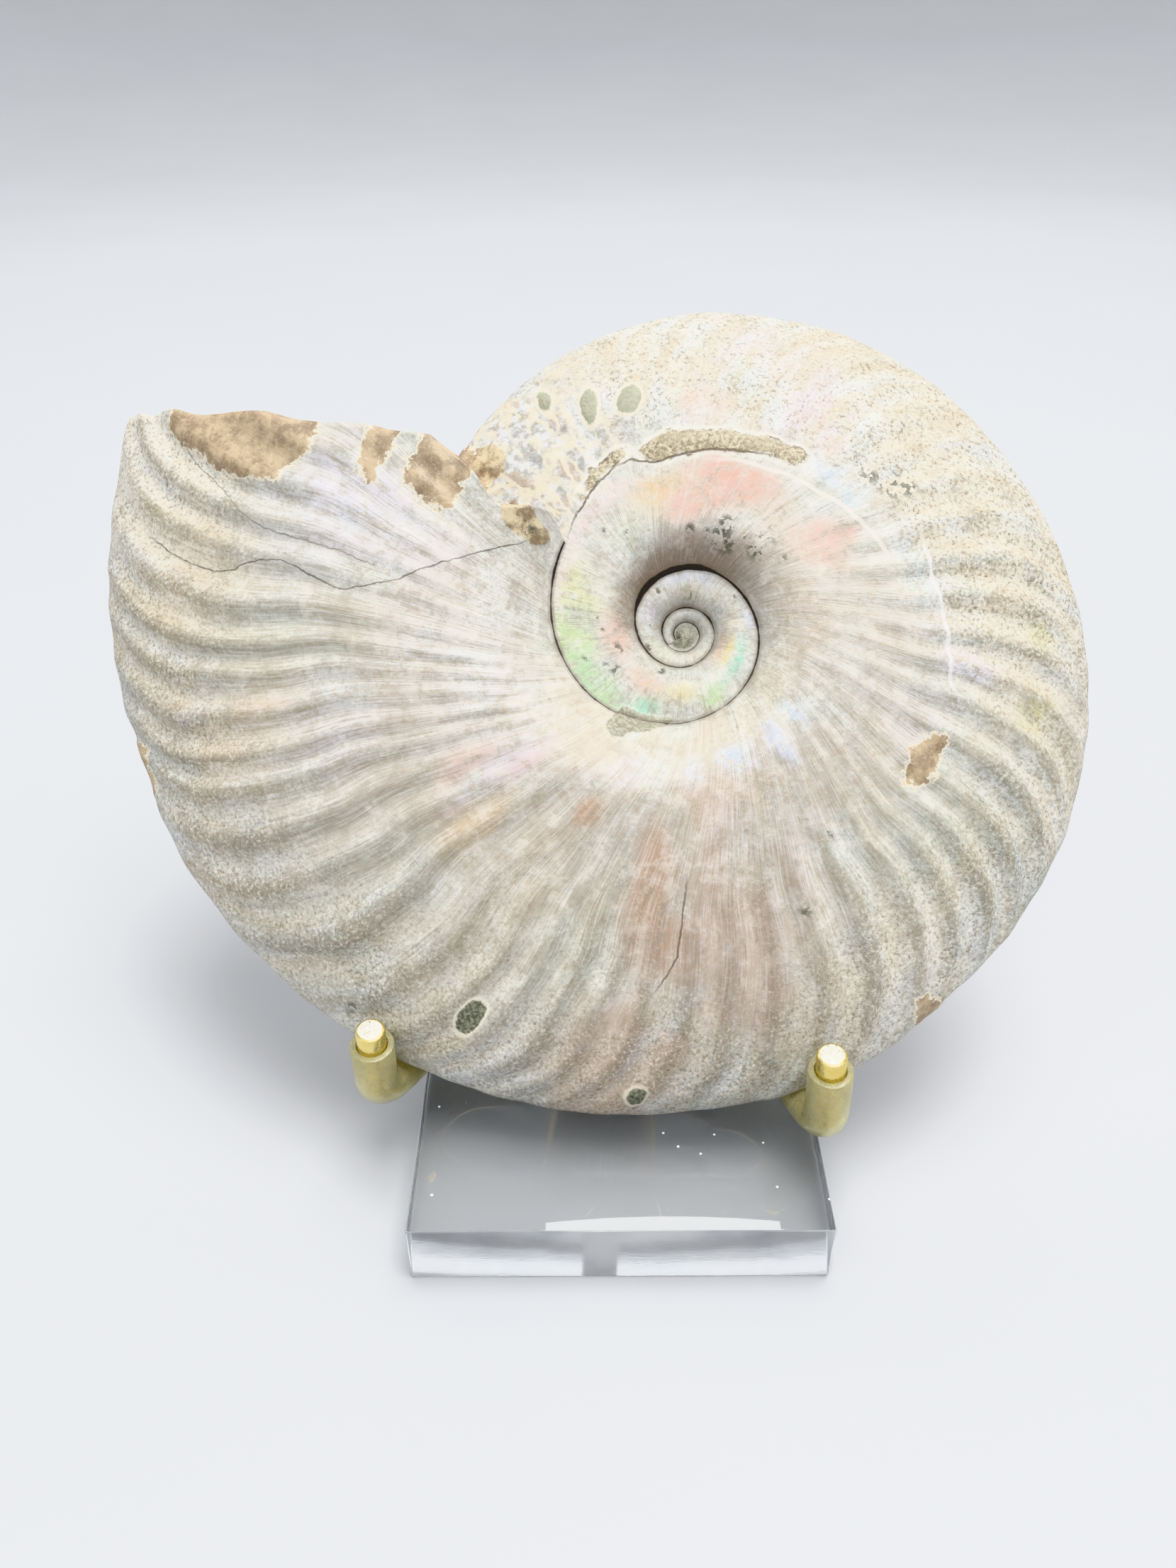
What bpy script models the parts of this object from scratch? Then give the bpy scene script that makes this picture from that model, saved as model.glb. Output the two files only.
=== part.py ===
"""A cleoniceras ammonite resting on a three-armed brass display stand with a clear acrylic foot.

Metres, +Z up, seen from -Y. The origin is on the ground, under the middle of the bounding box.
"""

from bisect import bisect_right
from collections import namedtuple
from math import ceil, cos, exp, log, pi, radians, sin, tan

import bmesh
import bpy
from mathutils import Matrix, Vector

TURN = 2 * pi
GAP = 0.0003

# Foot: a block of clear cast acrylic, drilled a little left of its middle and counterbored below
FOOT_PLACE = Vector((0.0064, -0.0056, 0))
FOOT_WIDTH = 0.0889
FOOT_DEPTH = 0.127
FOOT_THICKNESS = 0.015875
FOOT_EDGE = 0.0004
HUB_PLACE = FOOT_PLACE + Vector((-0.0028, 0, 0))
COUNTERBORE_RADIUS = 0.005
COUNTERBORE_DEPTH = 0.008
SCREW_HOLE_RADIUS = 0.0033
ROUND_SIDES = 24

# Screw from below, ending just under the fork inside the hub
SCREW_HEAD_RADIUS = 0.0045
SCREW_HEAD_HEIGHT = 0.0035
SCREW_SOCKET_RADIUS = 0.0019
SCREW_SOCKET_DEPTH = 0.0018
SCREW_SHANK_RADIUS = 0.0026

# Brass hub, with a through hole for the fork and a blind hole for the back rest
HUB_RADIUS = 0.009525
HUB_HEIGHT = 0.0127
HUB_EDGE = 0.0005
HUB_BLIND_HOLE = 0.0045

# Fork: one bent rod whose two arms end in upright pegs, turned a little clockwise on the foot
ROD_RADIUS = 0.003175
ROD_HEIGHT = 0.0218
ROD_SIDES = 12
STAND_YAW = radians(-5.25)
FORK_SLIDE = 0.0016
FORK_HALF_WIDTH = 0.0306
ARM_SPLAY = radians(27.25)
LEFT_ARM_LENGTH = 0.0411
RIGHT_ARM_LENGTH = 0.0420
LEFT_PEG = Vector((0.045, -0.13, 1)) * 0.0232
RIGHT_PEG = Vector((-0.075, -0.09, 1)) * 0.0252
PEG_BEND = 0.0075
CORNER_BEND = 0.012
BEND_STEP = radians(18)

# Back rest: a rod from the hub that turns up behind the shell
REST_REACH = 0.0185
REST_LENGTH = 0.0464
REST_LEAN = radians(12)
REST_BEND = 0.010

# Clear tubing over the rods
SLEEVE_RADIUS = 0.0047625
PEG_BARE_END = 0.005
REST_BARE_END = 0.0015
PEG_SLEEVE_LENGTH = 0.046
REST_SLEEVE_LENGTH = 0.032

# Where the shell stands: its coiling axis, how far it leans back, and its turn about the upright
SHELL_CENTRE = FOOT_PLACE + Vector((0.0152, 0.0271, 0.1056))
SHELL_LEAN = radians(38)
SHELL_YAW = radians(-3.5)

# Coil: growth angle runs clockwise from the notch, where the last whorl ends over the one before it
NOTCH_ANGLE = radians(146.6)
GROWTH_RATE = 0.121
NOTCH_RADIUS = 0.0653
TIP_GROWTH = radians(346.5)
HALF_THICKNESS_AT_MOUTH = 0.0255
CORE_SEAM_SHARE = 0.35
SHOULDER_AT_NOTCH = 0.16
SHOULDER_AT_MOUTH = 0.24
FLANK_POWER = 2.1
VENTER_POWER = 0.76
WALL_POWER = 0.85
MOUTH_HOLLOW = 0.003
FIRST_GROWTH = radians(-450)
CORE_OFFSET = 0.0012
CORE_HEIGHT = 0.0022
# The umbilical seam: growth angle in degrees and radius in millimetres
SEAM = (
    (-820, 1.9), (-460, 4.1), (-371, 5.2), (-255, 6.1), (-146, 7.4), (-62, 9.5), (0, 12.4), (56, 14.0),
    (116, 14.8), (180, 17.5), (244, 21.3), (293, 25.9), (360, 32.3),
)
# Wear and swelling of the venter: growth angle in degrees and millimetres off the even spiral
VENTER_WEAR = (
    (0, 0), (43, 0.9), (75, 0.2), (120, -1.0), (150, 0), (185, 0.4), (199, -0.7), (213, 0.5), (235, -1.2),
    (260, -1.2), (285, -0.1), (304, 1.3), (311, 0.3), (318, 1.4), (340, 2.4), (350, 3.4),
)

# Rows of the flank from the umbilical seam (0) to the venter (1); None is worked out from the seam
ROWS_AT_NOTCH = (0, 0.05, 0.12, 0.21, 0.30, None, 0.55, 0.68, 0.80, 0.90, 0.97, 1)
ROWS_AT_MOUTH = (0, 0.07, 0.15, 0.23, None, 0.43, 0.56, 0.68, 0.80, 0.90, 0.97, 1)
SEAM_ROW = 5
SAMPLES_PER_RIB = (1, 1, 1, 2, 2, 2, 4, 4, 4, 4, 4, 4)
INNER_STEP = radians(10)
# Broken edge of the last whorl inside the notch: radius in millimetres and growth angle in degrees
BROKEN_EDGE = ((32.3, 360), (37.7, 364), (45.6, 356), (54, 359), (65.3, 360))

# Grooves between the ribs: even ones on the worn first third, then each at its own growth angle in degrees
EVEN_GROOVES = 15
GROOVES = (
    122, 131, 139, 147, 154, 161.5, 169, 177, 183.5, 189.5, 196, 205, 212.5, 220, 227, 233.5, 240, 246, 251.5,
    257, 263, 270, 280.5, 288.5, 295.5, 302, 306.3, 311.5, 317, 321, 326.5, 333.5, 338.5, 344, 350, 356, 362,
    368, 374, 380,
)
DEEP_GROOVES = {169: 1.5, 205: 1.5, 280.5: 1.8, 321: 1.5}
RIB_HEIGHT = 0.0008
RIB_FADE_START = radians(60)
RIB_FADE_END = radians(140)
WORN_RIB_SHARE = 0.35
# Sweep of the ribs: place on the flank, and degrees of growth ahead of mid-flank
RIB_SWEEP = ((0, -15), (0.1, -11), (0.25, -5), (0.45, -0.5), (0.6, 0), (0.8, 2.5), (0.9, 5.5), (1, 11))
# Relief of the ribs: place on the flank, and share of the full height
RIB_RELIEF = ((0, 0), (0.12, 0.1), (0.35, 0.45), (0.6, 0.9), (0.85, 1.1), (1, 0.7))
VENTER_ZONE = 0.9

# Colours
NACRE = (0.62, 0.57, 0.49, 1)
ACRYLIC = (0.93, 0.96, 0.97, 1)
BRASS = (0.78, 0.62, 0.22, 1)
STEEL = (0.6, 0.6, 0.58, 1)
TUBING = (0.80, 0.80, 0.62, 1)

RowPoint = namedtuple("RowPoint", "column growth vertex")


# General helpers

def clear_scene():
    for existing in list(bpy.data.objects):
        bpy.data.objects.remove(existing, do_unlink=True)


def make_material(name, colour, roughness, metallic=0.0, transmission=0.0):
    made = bpy.data.materials.new(name)
    made.use_nodes = True
    shader = made.node_tree.nodes["Principled BSDF"]
    shader.inputs["Base Color"].default_value = colour
    shader.inputs["Roughness"].default_value = roughness
    shader.inputs["Metallic"].default_value = metallic
    shader.inputs["Transmission Weight"].default_value = transmission
    return made


def add_object(name, shape, material):
    """An object made from a bmesh, with every face turned outwards."""
    bmesh.ops.recalc_face_normals(shape, faces=shape.faces[:])
    mesh = bpy.data.meshes.new(name)
    shape.to_mesh(mesh)
    shape.free()
    mesh.materials.append(material)
    made = bpy.data.objects.new(name, mesh)
    bpy.context.scene.collection.objects.link(made)
    return made


def add_faces(name, points, faces, material):
    shape = bmesh.new()
    corners = [shape.verts.new(point) for point in points]
    for face in faces:
        shape.faces.new([corners[index] for index in face])
    return add_object(name, shape, material)


def blend(low, high, share):
    return low + (high - low) * share


def ramp(value, start, end):
    share = min(max((value - start) / (end - start), 0), 1)
    return share * share * (3 - 2 * share)


def curve_value(points, place):
    """Value at this place on a smooth curve through (place, value) points."""
    last = len(points) - 1
    if place <= points[0][0]:
        return points[0][1]
    if place >= points[last][0]:
        return points[last][1]
    index = bisect_right(points, place, key=lambda point: point[0]) - 1

    def slope(at):
        before = points[max(at - 1, 0)]
        after = points[min(at + 1, last)]
        return (after[1] - before[1]) / (after[0] - before[0])

    (start, low), (end, high) = points[index], points[index + 1]
    share = (place - start) / (end - start)
    tangents = (1 - share) * slope(index) - share * slope(index + 1)
    return blend(low, high, share * share * (3 - 2 * share)) + tangents * share * (1 - share) * (end - start)


# Shape of the coil

SEAM_CURVE = [(radians(angle), log(radius * 0.001)) for angle, radius in SEAM]
WEAR_CURVE = [(radians(angle), wear * 0.001) for angle, wear in VENTER_WEAR]
SWEEP_CURVE = [(place, radians(angle)) for place, angle in RIB_SWEEP]
EDGE_CURVE = [(radius * 0.001, radians(angle)) for radius, angle in BROKEN_EDGE]


def seam_radius(growth):
    return exp(curve_value(SEAM_CURVE, growth))


def venter_radius(growth):
    return NOTCH_RADIUS * exp(GROWTH_RATE * growth) + curve_value(WEAR_CURVE, growth)


def half_thickness(growth):
    return HALF_THICKNESS_AT_MOUTH * exp(GROWTH_RATE * (growth - TURN))


def flank_height(growth, radius, whorls_below=3):
    """How far the flank lies from the middle plane, for the whorl at this growth angle."""
    seam = seam_radius(growth)
    place = min(max((radius - seam) / (venter_radius(growth) - seam), 0), 1)
    shoulder = blend(SHOULDER_AT_NOTCH, SHOULDER_AT_MOUTH, min(max(growth / TURN, 0), 1))
    half = half_thickness(growth)
    if place >= shoulder:
        outward = (place - shoulder) / (1 - shoulder)
        return half * (1 - outward ** FLANK_POWER) ** VENTER_POWER
    seam_height = CORE_SEAM_SHARE * half
    if whorls_below:
        seam_height = min(flank_height(growth - TURN, seam, whorls_below - 1), 0.85 * half)
    return blend(seam_height, half, sin(pi / 2 * (place / shoulder) ** WALL_POWER))


def list_grooves():
    """Growth angles of the grooves in radians, each with its depth."""
    step = GROOVES[0] / EVEN_GROOVES
    angles = [step * index for index in range(-2, EVEN_GROOVES)] + list(GROOVES)
    return [(radians(angle), DEEP_GROOVES.get(angle, 1)) for angle in angles]


def rib_height(grooves, column, growth, place):
    """Height of the ribs over the plain flank; column is where this rib crosses mid-flank."""
    index = bisect_right(grooves, column, key=lambda groove: groove[0]) - 1
    index = min(max(index, 0), len(grooves) - 2)
    (start, start_depth), (end, end_depth) = grooves[index], grooves[index + 1]
    share = (column - start) / (end - start)
    wave = -cos(TURN * share)
    if wave < 0:
        wave *= start_depth if share < 0.5 else end_depth
    worn = blend(WORN_RIB_SHARE, 1, ramp(growth, RIB_FADE_START, RIB_FADE_END))
    return RIB_HEIGHT * wave * worn * curve_value(RIB_RELIEF, place)


def rib_sweep(growth, place):
    return curve_value(SWEEP_CURVE, place) * ramp(growth, 0, RIB_FADE_START)


def mouth_growth(radius):
    """Growth angle of the mouth line at this radius: a broken edge, then straight from the notch to the tip."""
    if radius <= NOTCH_RADIUS:
        return curve_value(EDGE_CURVE, radius)
    tip = venter_radius(TIP_GROWTH)
    opening = TURN - TIP_GROWTH
    low, high = TIP_GROWTH, TURN
    for _ in range(40):
        middle = (low + high) / 2
        shares = tip * sin(middle - TIP_GROWTH) + NOTCH_RADIUS * sin(TURN - middle)
        if NOTCH_RADIUS * tip * sin(opening) / shares < radius:
            high = middle
        else:
            low = middle
    return (low + high) / 2


class Coil:
    """The shell's surface as rows of points that follow the growth spiral, mirrored onto the back."""

    def __init__(self):
        self.points = []
        self.faces = []
        self.twins = {}
        self.rows = []
        self.grooves = list_grooves()
        self.last_row = len(ROWS_AT_NOTCH) - 1
        seam_share = (seam_radius(TURN) - seam_radius(0)) / (venter_radius(0) - seam_radius(0))
        rim_share = (NOTCH_RADIUS - seam_radius(TURN)) / (venter_radius(TURN) - seam_radius(TURN))
        self.notch_shares = [seam_share if share is None else share for share in ROWS_AT_NOTCH]
        self.mouth_shares = [rim_share if share is None else share for share in ROWS_AT_MOUTH]

    def place_of(self, row, growth):
        """Radius of a row, and its place on the flank from 0 at the seam to 1 at the venter."""
        seam = seam_radius(growth)
        width = venter_radius(growth) - seam
        if growth < 0:
            share = self.notch_shares[row] / self.notch_shares[SEAM_ROW]
            radius = blend(seam, seam_radius(growth + TURN), share)
            return radius, (radius - seam) / width
        place = blend(self.notch_shares[row], self.mouth_shares[row], min(growth / TURN, 1))
        return seam + width * place, place

    def end_of(self, row):
        """Growth angle at which a row meets the mouth line."""
        growth = TURN
        for _ in range(40):
            growth = blend(growth, mouth_growth(self.place_of(row, growth)[0]), 0.5)
        return growth

    def add_point(self, growth, radius, height):
        """A point on the front flank and its twin on the back, or one alone on the middle plane."""
        angle = NOTCH_ANGLE - growth
        front = len(self.points)
        self.points.append(Vector((radius * cos(angle), radius * sin(angle), height)))
        self.twins[front] = front
        if height:
            self.points.append(Vector((radius * cos(angle), radius * sin(angle), -height)))
            self.twins[front] = front + 1
        return front

    def add_row_point(self, row, growth, column):
        radius, place = self.place_of(row, growth)
        relief = rib_height(self.grooves, column, growth, place) if growth >= 0 else 0
        outward = ramp(place, VENTER_ZONE, 1)
        height = 0
        if row < self.last_row:
            height = flank_height(growth, radius) + relief * (1 - outward)
        return RowPoint(column, growth, self.add_point(growth, radius + relief * outward, height))

    def make_row(self, row):
        made = []
        if row < SEAM_ROW:
            steps = ceil(-FIRST_GROWTH / INNER_STEP)
            inner = [FIRST_GROWTH * (1 - step / steps) for step in range(steps)]
            made += [self.add_row_point(row, growth, growth) for growth in inner]
        if row == SEAM_ROW:
            made.append(RowPoint(0, 0, self.rows[0][-1].vertex))
        else:
            made.append(self.add_row_point(row, 0, 0))
        end = self.end_of(row)
        end_column = end - rib_sweep(end, self.place_of(row, end)[1])
        for (start, _), (stop, _) in zip(self.grooves, self.grooves[1:]):
            spacing = (stop - start) / SAMPLES_PER_RIB[row]
            for sample in range(SAMPLES_PER_RIB[row]):
                column = start + spacing * sample
                growth = column + rib_sweep(column, self.place_of(row, column)[1])
                if column > spacing / 2 and growth < end - spacing / 3:
                    made.append(self.add_row_point(row, growth, column))
        made.append(self.add_row_point(row, end, end_column))
        return made

    def add_face(self, *corners):
        if len(set(corners)) == 3:
            self.faces.append(corners)
            self.faces.append(tuple(self.twins[corner] for corner in reversed(corners)))

    def stitch(self, inner, outer):
        """Triangles between two lists of (key, vertex), advancing along whichever comes next."""
        i = j = 0
        while i < len(inner) - 1 or j < len(outer) - 1:
            if j == len(outer) - 1 or (i < len(inner) - 1 and inner[i + 1][0] <= outer[j + 1][0]):
                self.add_face(inner[i][1], outer[j][1], inner[i + 1][1])
                i += 1
            else:
                self.add_face(inner[i][1], outer[j][1], outer[j + 1][1])
                j += 1

    def make_band(self, row):
        """The band between a row and the next one out."""
        inner, outer = self.rows[row], self.rows[row + 1]
        if row == SEAM_ROW - 1:
            inner = [point for point in inner if point.growth >= 0]
        self.stitch([(p.column, p.vertex) for p in inner], [(p.column, p.vertex) for p in outer])

    def make_inner_whorls(self):
        """The band from the row inside each seam to the whorl that covers it, and the core."""
        inside = [(p.growth, p.vertex) for p in self.rows[SEAM_ROW - 1] if p.growth <= 0]
        seam = [(p.growth - TURN, p.vertex) for p in self.rows[0]]
        start = next(index for index, (growth, _) in enumerate(seam) if growth > FIRST_GROWTH - 0.01)
        self.stitch(inside, seam[start:])
        ring = [vertex for _, vertex in seam[:start + 1]]
        ring += [self.rows[row][0].vertex for row in range(SEAM_ROW - 1, -1, -1)]
        core = self.add_point(FIRST_GROWTH + pi, CORE_OFFSET, CORE_HEIGHT)
        for first, second in zip(ring, ring[1:]):
            self.add_face(core, first, second)

    def make_mouth(self):
        """The broken end of the last whorl, a little hollow along the middle plane."""
        rim = [row[-1].vertex for row in self.rows]
        floor = [rim[0]]
        for row in self.rows[SEAM_ROW + 1:]:
            floor.append(next(point.vertex for point in row if point.growth == 0))
        notch, tip = self.points[floor[-1]], self.points[rim[-1]]
        along = (tip - notch).normalized()
        inward = Vector((-along.y, along.x, 0))
        for share in (0.2, 0.5, 0.8):
            floor.append(len(self.points))
            self.twins[floor[-1]] = floor[-1]
            self.points.append(notch.lerp(tip, share) + inward * MOUTH_HOLLOW)
        floor.append(rim[-1])
        self.stitch(
            [(self.points[vertex].xy.length, vertex) for vertex in floor],
            [(self.points[vertex].xy.length, vertex) for vertex in rim],
        )

    def build(self):
        for row in range(self.last_row + 1):
            self.rows.append(self.make_row(row))
        for row in range(self.last_row):
            self.make_band(row)
        self.make_inner_whorls()
        self.make_mouth()


def add_ammonite(name, material):
    coil = Coil()
    coil.build()
    made = add_faces(name, coil.points, coil.faces, material)
    turned = Matrix.Rotation(SHELL_YAW, 4, "Z") @ Matrix.Rotation(pi / 2 - SHELL_LEAN, 4, "X")
    made.data.transform(Matrix.Translation(SHELL_CENTRE) @ turned)
    return made


# Rods, tubes and turned shapes

def rounded_path(corners, bends):
    """Points along straight runs between corners, with an arc of the given radius at each inner corner."""
    path = [corners[0]]
    for before, corner, after, bend in zip(corners, corners[1:], corners[2:], bends):
        back = (before - corner).normalized()
        ahead = (after - corner).normalized()
        half_angle = back.angle(ahead) / 2
        centre = corner + (back + ahead).normalized() * (bend / sin(half_angle))
        first = corner + back * (bend / tan(half_angle)) - centre
        last = corner + ahead * (bend / tan(half_angle)) - centre
        steps = ceil(first.angle(last) / BEND_STEP)
        path += [centre + first.slerp(last, step / steps).normalized() * bend for step in range(steps + 1)]
    path.append(corners[-1])
    return path


def cut_path(path, start, end):
    """The stretch of a path between two distances along it."""
    made = []
    travelled = 0
    for first, second in zip(path, path[1:]):
        length = (second - first).length
        for place in (start, end):
            if travelled < place <= travelled + length:
                made.append(first.lerp(second, (place - travelled) / length))
        travelled += length
        if start + 0.0005 < travelled < end - 0.0005:
            made.append(second)
    return made


def rings_along(path, radius):
    """Rings of points square to a path, widened at each bend so that the tube keeps its thickness."""
    directions = [(after - before).normalized() for before, after in zip(path, path[1:])]
    side = directions[0].orthogonal().normalized()
    rings = []
    for index, centre in enumerate(path):
        before = directions[max(index - 1, 0)]
        after = directions[min(index, len(directions) - 1)]
        ahead = (before + after).normalized()
        side = (side - ahead * side.dot(ahead)).normalized()
        across = ahead.cross(side)
        bend = (after - before).normalized()
        ring = []
        for corner in range(ROD_SIDES):
            angle = TURN * corner / ROD_SIDES
            offset = (side * cos(angle) + across * sin(angle)) * radius
            ring.append(centre + offset + bend * offset.dot(bend) * (1 / before.dot(ahead) - 1))
        rings.append(ring)
    return rings


def add_tube(name, path, radius, material, bore=0):
    """A round rod along a path, or a tube where it has a bore."""
    rings = rings_along(path, radius)
    last = len(rings) - 1
    if bore:
        rings += rings_along(path, bore)[::-1]
        rings.append(rings[0])
    count = ROD_SIDES * (len(rings) - bool(bore))
    faces = []
    for ring in range(len(rings) - 1):
        for corner in range(ROD_SIDES):
            following = (corner + 1) % ROD_SIDES
            places = (
                ring * ROD_SIDES + corner, ring * ROD_SIDES + following,
                (ring + 1) * ROD_SIDES + following, (ring + 1) * ROD_SIDES + corner,
            )
            faces.append([place % count for place in places])
    if not bore:
        faces.append(list(range(ROD_SIDES)))
        faces.append(list(range(last * ROD_SIDES, (last + 1) * ROD_SIDES)))
    points = [point for ring in rings for point in ring][:count]
    return add_faces(name, points, faces, material)


def add_lathe(name, profile, place, material):
    """A solid turned about an upright axis, from (radius, height) points that start and end on the axis."""
    shape = bmesh.new()
    points = [shape.verts.new((radius, 0, height)) for radius, height in profile]
    edges = [shape.edges.new(pair) for pair in zip(points, points[1:])]
    bmesh.ops.spin(shape, geom=points + edges, axis=(0, 0, 1), cent=(0, 0, 0), angle=TURN, steps=ROUND_SIDES)
    bmesh.ops.remove_doubles(shape, verts=shape.verts[:], dist=1e-6)
    bmesh.ops.translate(shape, verts=shape.verts[:], vec=place)
    return add_object(name, shape, material)


def cut_with(body, cutter):
    """Takes the cutter's shape out of the body and hides the cutter."""
    cutter.hide_render = True
    cutter.hide_viewport = True
    cut = body.modifiers.new(f"cut_{cutter.name}", "BOOLEAN")
    cut.operation = "DIFFERENCE"
    cut.solver = "EXACT"
    cut.object = cutter


# The stand

def add_foot(name, material):
    shape = bmesh.new()
    bmesh.ops.create_cube(shape, size=1)
    bmesh.ops.scale(shape, verts=shape.verts[:], vec=(FOOT_WIDTH, FOOT_DEPTH, FOOT_THICKNESS))
    middle = FOOT_PLACE + Vector((0, 0, FOOT_THICKNESS / 2))
    bmesh.ops.translate(shape, verts=shape.verts[:], vec=middle)
    bmesh.ops.bevel(shape, geom=shape.edges[:], offset=FOOT_EDGE, segments=1, affect="EDGES")
    made = add_object(name, shape, material)
    above = FOOT_THICKNESS + 0.001
    profile = (
        (0, -0.001), (COUNTERBORE_RADIUS, -0.001), (COUNTERBORE_RADIUS, COUNTERBORE_DEPTH),
        (SCREW_HOLE_RADIUS, COUNTERBORE_DEPTH), (SCREW_HOLE_RADIUS, above), (0, above),
    )
    cut_with(made, add_lathe("foot_drill", profile, HUB_PLACE, material))
    return made


def add_screw(name, material):
    top = COUNTERBORE_DEPTH - GAP
    bottom = top - SCREW_HEAD_HEIGHT
    end = ROD_HEIGHT - ROD_RADIUS - GAP
    profile = (
        (0, bottom + SCREW_SOCKET_DEPTH), (SCREW_SOCKET_RADIUS, bottom + SCREW_SOCKET_DEPTH),
        (SCREW_SOCKET_RADIUS, bottom), (SCREW_HEAD_RADIUS, bottom), (SCREW_HEAD_RADIUS, top),
        (SCREW_SHANK_RADIUS, top), (SCREW_SHANK_RADIUS, end), (0, end),
    )
    return add_lathe(name, profile, HUB_PLACE, material)


def add_hub(name, across, backward, material):
    bottom = FOOT_THICKNESS + GAP
    top = bottom + HUB_HEIGHT
    profile = (
        (0, bottom), (HUB_RADIUS, bottom), (HUB_RADIUS, top - HUB_EDGE), (HUB_RADIUS - HUB_EDGE, top), (0, top),
    )
    made = add_lathe(name, profile, HUB_PLACE, material)
    axis = HUB_PLACE + Vector((0, 0, ROD_HEIGHT))
    bore = ROD_RADIUS + GAP
    fork_hole = [axis - across * 2 * HUB_RADIUS, axis + across * 2 * HUB_RADIUS]
    rest_hole = [axis + backward * (HUB_RADIUS - HUB_BLIND_HOLE), axis + backward * 2 * HUB_RADIUS]
    screw_radius = SCREW_SHANK_RADIUS + GAP
    screw_hole = ((0, 0), (screw_radius, 0), (screw_radius, ROD_HEIGHT), (0, ROD_HEIGHT))
    cut_with(made, add_tube("fork_drill", fork_hole, bore, material))
    cut_with(made, add_tube("rest_drill", rest_hole, bore, material))
    cut_with(made, add_lathe("screw_drill", screw_hole, HUB_PLACE, material))
    return made


def add_stand():
    yaw = Matrix.Rotation(STAND_YAW, 3, "Z")
    across = yaw @ Vector((1, 0, 0))
    backward = yaw @ Vector((0, 1, 0))
    axis = HUB_PLACE + Vector((0, 0, ROD_HEIGHT))

    middle = axis + across * FORK_SLIDE
    left_corner = middle - across * FORK_HALF_WIDTH
    right_corner = middle + across * FORK_HALF_WIDTH
    left_foot = left_corner - (across * sin(ARM_SPLAY) + backward * cos(ARM_SPLAY)) * LEFT_ARM_LENGTH
    right_foot = right_corner + (across * sin(ARM_SPLAY) - backward * cos(ARM_SPLAY)) * RIGHT_ARM_LENGTH
    fork_path = rounded_path(
        (left_foot + LEFT_PEG, left_foot, left_corner, right_corner, right_foot, right_foot + RIGHT_PEG),
        (PEG_BEND, CORNER_BEND, CORNER_BEND, PEG_BEND),
    )

    rest_start = axis + backward * (HUB_RADIUS - HUB_BLIND_HOLE + GAP)
    rest_corner = axis + backward * REST_REACH
    rest_tip = rest_corner + (backward * sin(REST_LEAN) + Vector((0, 0, cos(REST_LEAN)))) * REST_LENGTH
    rest_path = rounded_path((rest_tip, rest_corner, rest_start), (REST_BEND,))

    add_foot("acrylic_foot", make_material("acrylic", ACRYLIC, 0.12, transmission=1))
    add_screw("foot_screw", make_material("steel", STEEL, 0.35, metallic=1))
    add_hub("hub", across, backward, make_material("hub_brass", BRASS, 0.3, metallic=1))
    add_tube("fork", fork_path, ROD_RADIUS, make_material("fork_brass", BRASS, 0.3, metallic=1))
    add_tube("back_rest", rest_path, ROD_RADIUS, make_material("rest_brass", BRASS, 0.3, metallic=1))

    peg_end = PEG_BARE_END + PEG_SLEEVE_LENGTH
    rest_end = REST_BARE_END + REST_SLEEVE_LENGTH
    sleeves = (
        ("left_sleeve", cut_path(fork_path, PEG_BARE_END, peg_end)),
        ("right_sleeve", cut_path(fork_path[::-1], PEG_BARE_END, peg_end)),
        ("back_sleeve", cut_path(rest_path, REST_BARE_END, rest_end)),
    )
    for name, path in sleeves:
        tubing = make_material(f"{name}_tubing", TUBING, 0.2, transmission=1)
        add_tube(name, path, SLEEVE_RADIUS, tubing, bore=ROD_RADIUS + GAP)


clear_scene()
add_ammonite("ammonite", make_material("nacre", NACRE, 0.45))
add_stand()
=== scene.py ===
"""Looks of a cleoniceras ammonite on its brass and acrylic display stand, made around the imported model."""

from itertools import product
from math import ceil, cos, exp, log, pi, radians, sin, tan

import bmesh
import bpy
import numpy as np
from mathutils import Matrix, Vector


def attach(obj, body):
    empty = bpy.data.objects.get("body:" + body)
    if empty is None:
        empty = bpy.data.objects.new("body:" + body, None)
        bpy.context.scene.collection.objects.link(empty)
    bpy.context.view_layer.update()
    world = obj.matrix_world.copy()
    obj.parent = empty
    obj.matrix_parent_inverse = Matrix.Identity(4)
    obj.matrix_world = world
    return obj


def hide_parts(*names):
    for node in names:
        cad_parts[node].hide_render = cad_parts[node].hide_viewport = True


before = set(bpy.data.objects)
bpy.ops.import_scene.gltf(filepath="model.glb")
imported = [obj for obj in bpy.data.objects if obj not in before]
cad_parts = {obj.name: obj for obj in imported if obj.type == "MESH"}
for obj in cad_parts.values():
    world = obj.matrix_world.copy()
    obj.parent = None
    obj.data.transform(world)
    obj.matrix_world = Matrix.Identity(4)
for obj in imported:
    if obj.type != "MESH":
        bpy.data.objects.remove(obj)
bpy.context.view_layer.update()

TURN = 2 * pi
GAP = 0.0003
SMOOTH_ANGLE = radians(35)
SLIVER = 2e-6
HALVINGS = 40

# Foot
FOOT_PLACE = Vector((0.0064, -0.0056, 0))
FOOT_WIDTH = 0.0889
FOOT_DEPTH = 0.127
FOOT_THICKNESS = 0.015875
FOOT_EDGE = 0.0004
HUB_PLACE = FOOT_PLACE + Vector((-0.0028, 0, 0))
COUNTERBORE_RADIUS = 0.005
COUNTERBORE_DEPTH = 0.008
SCREW_HOLE_RADIUS = 0.0033
ROUND_SIDES = 64

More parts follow.
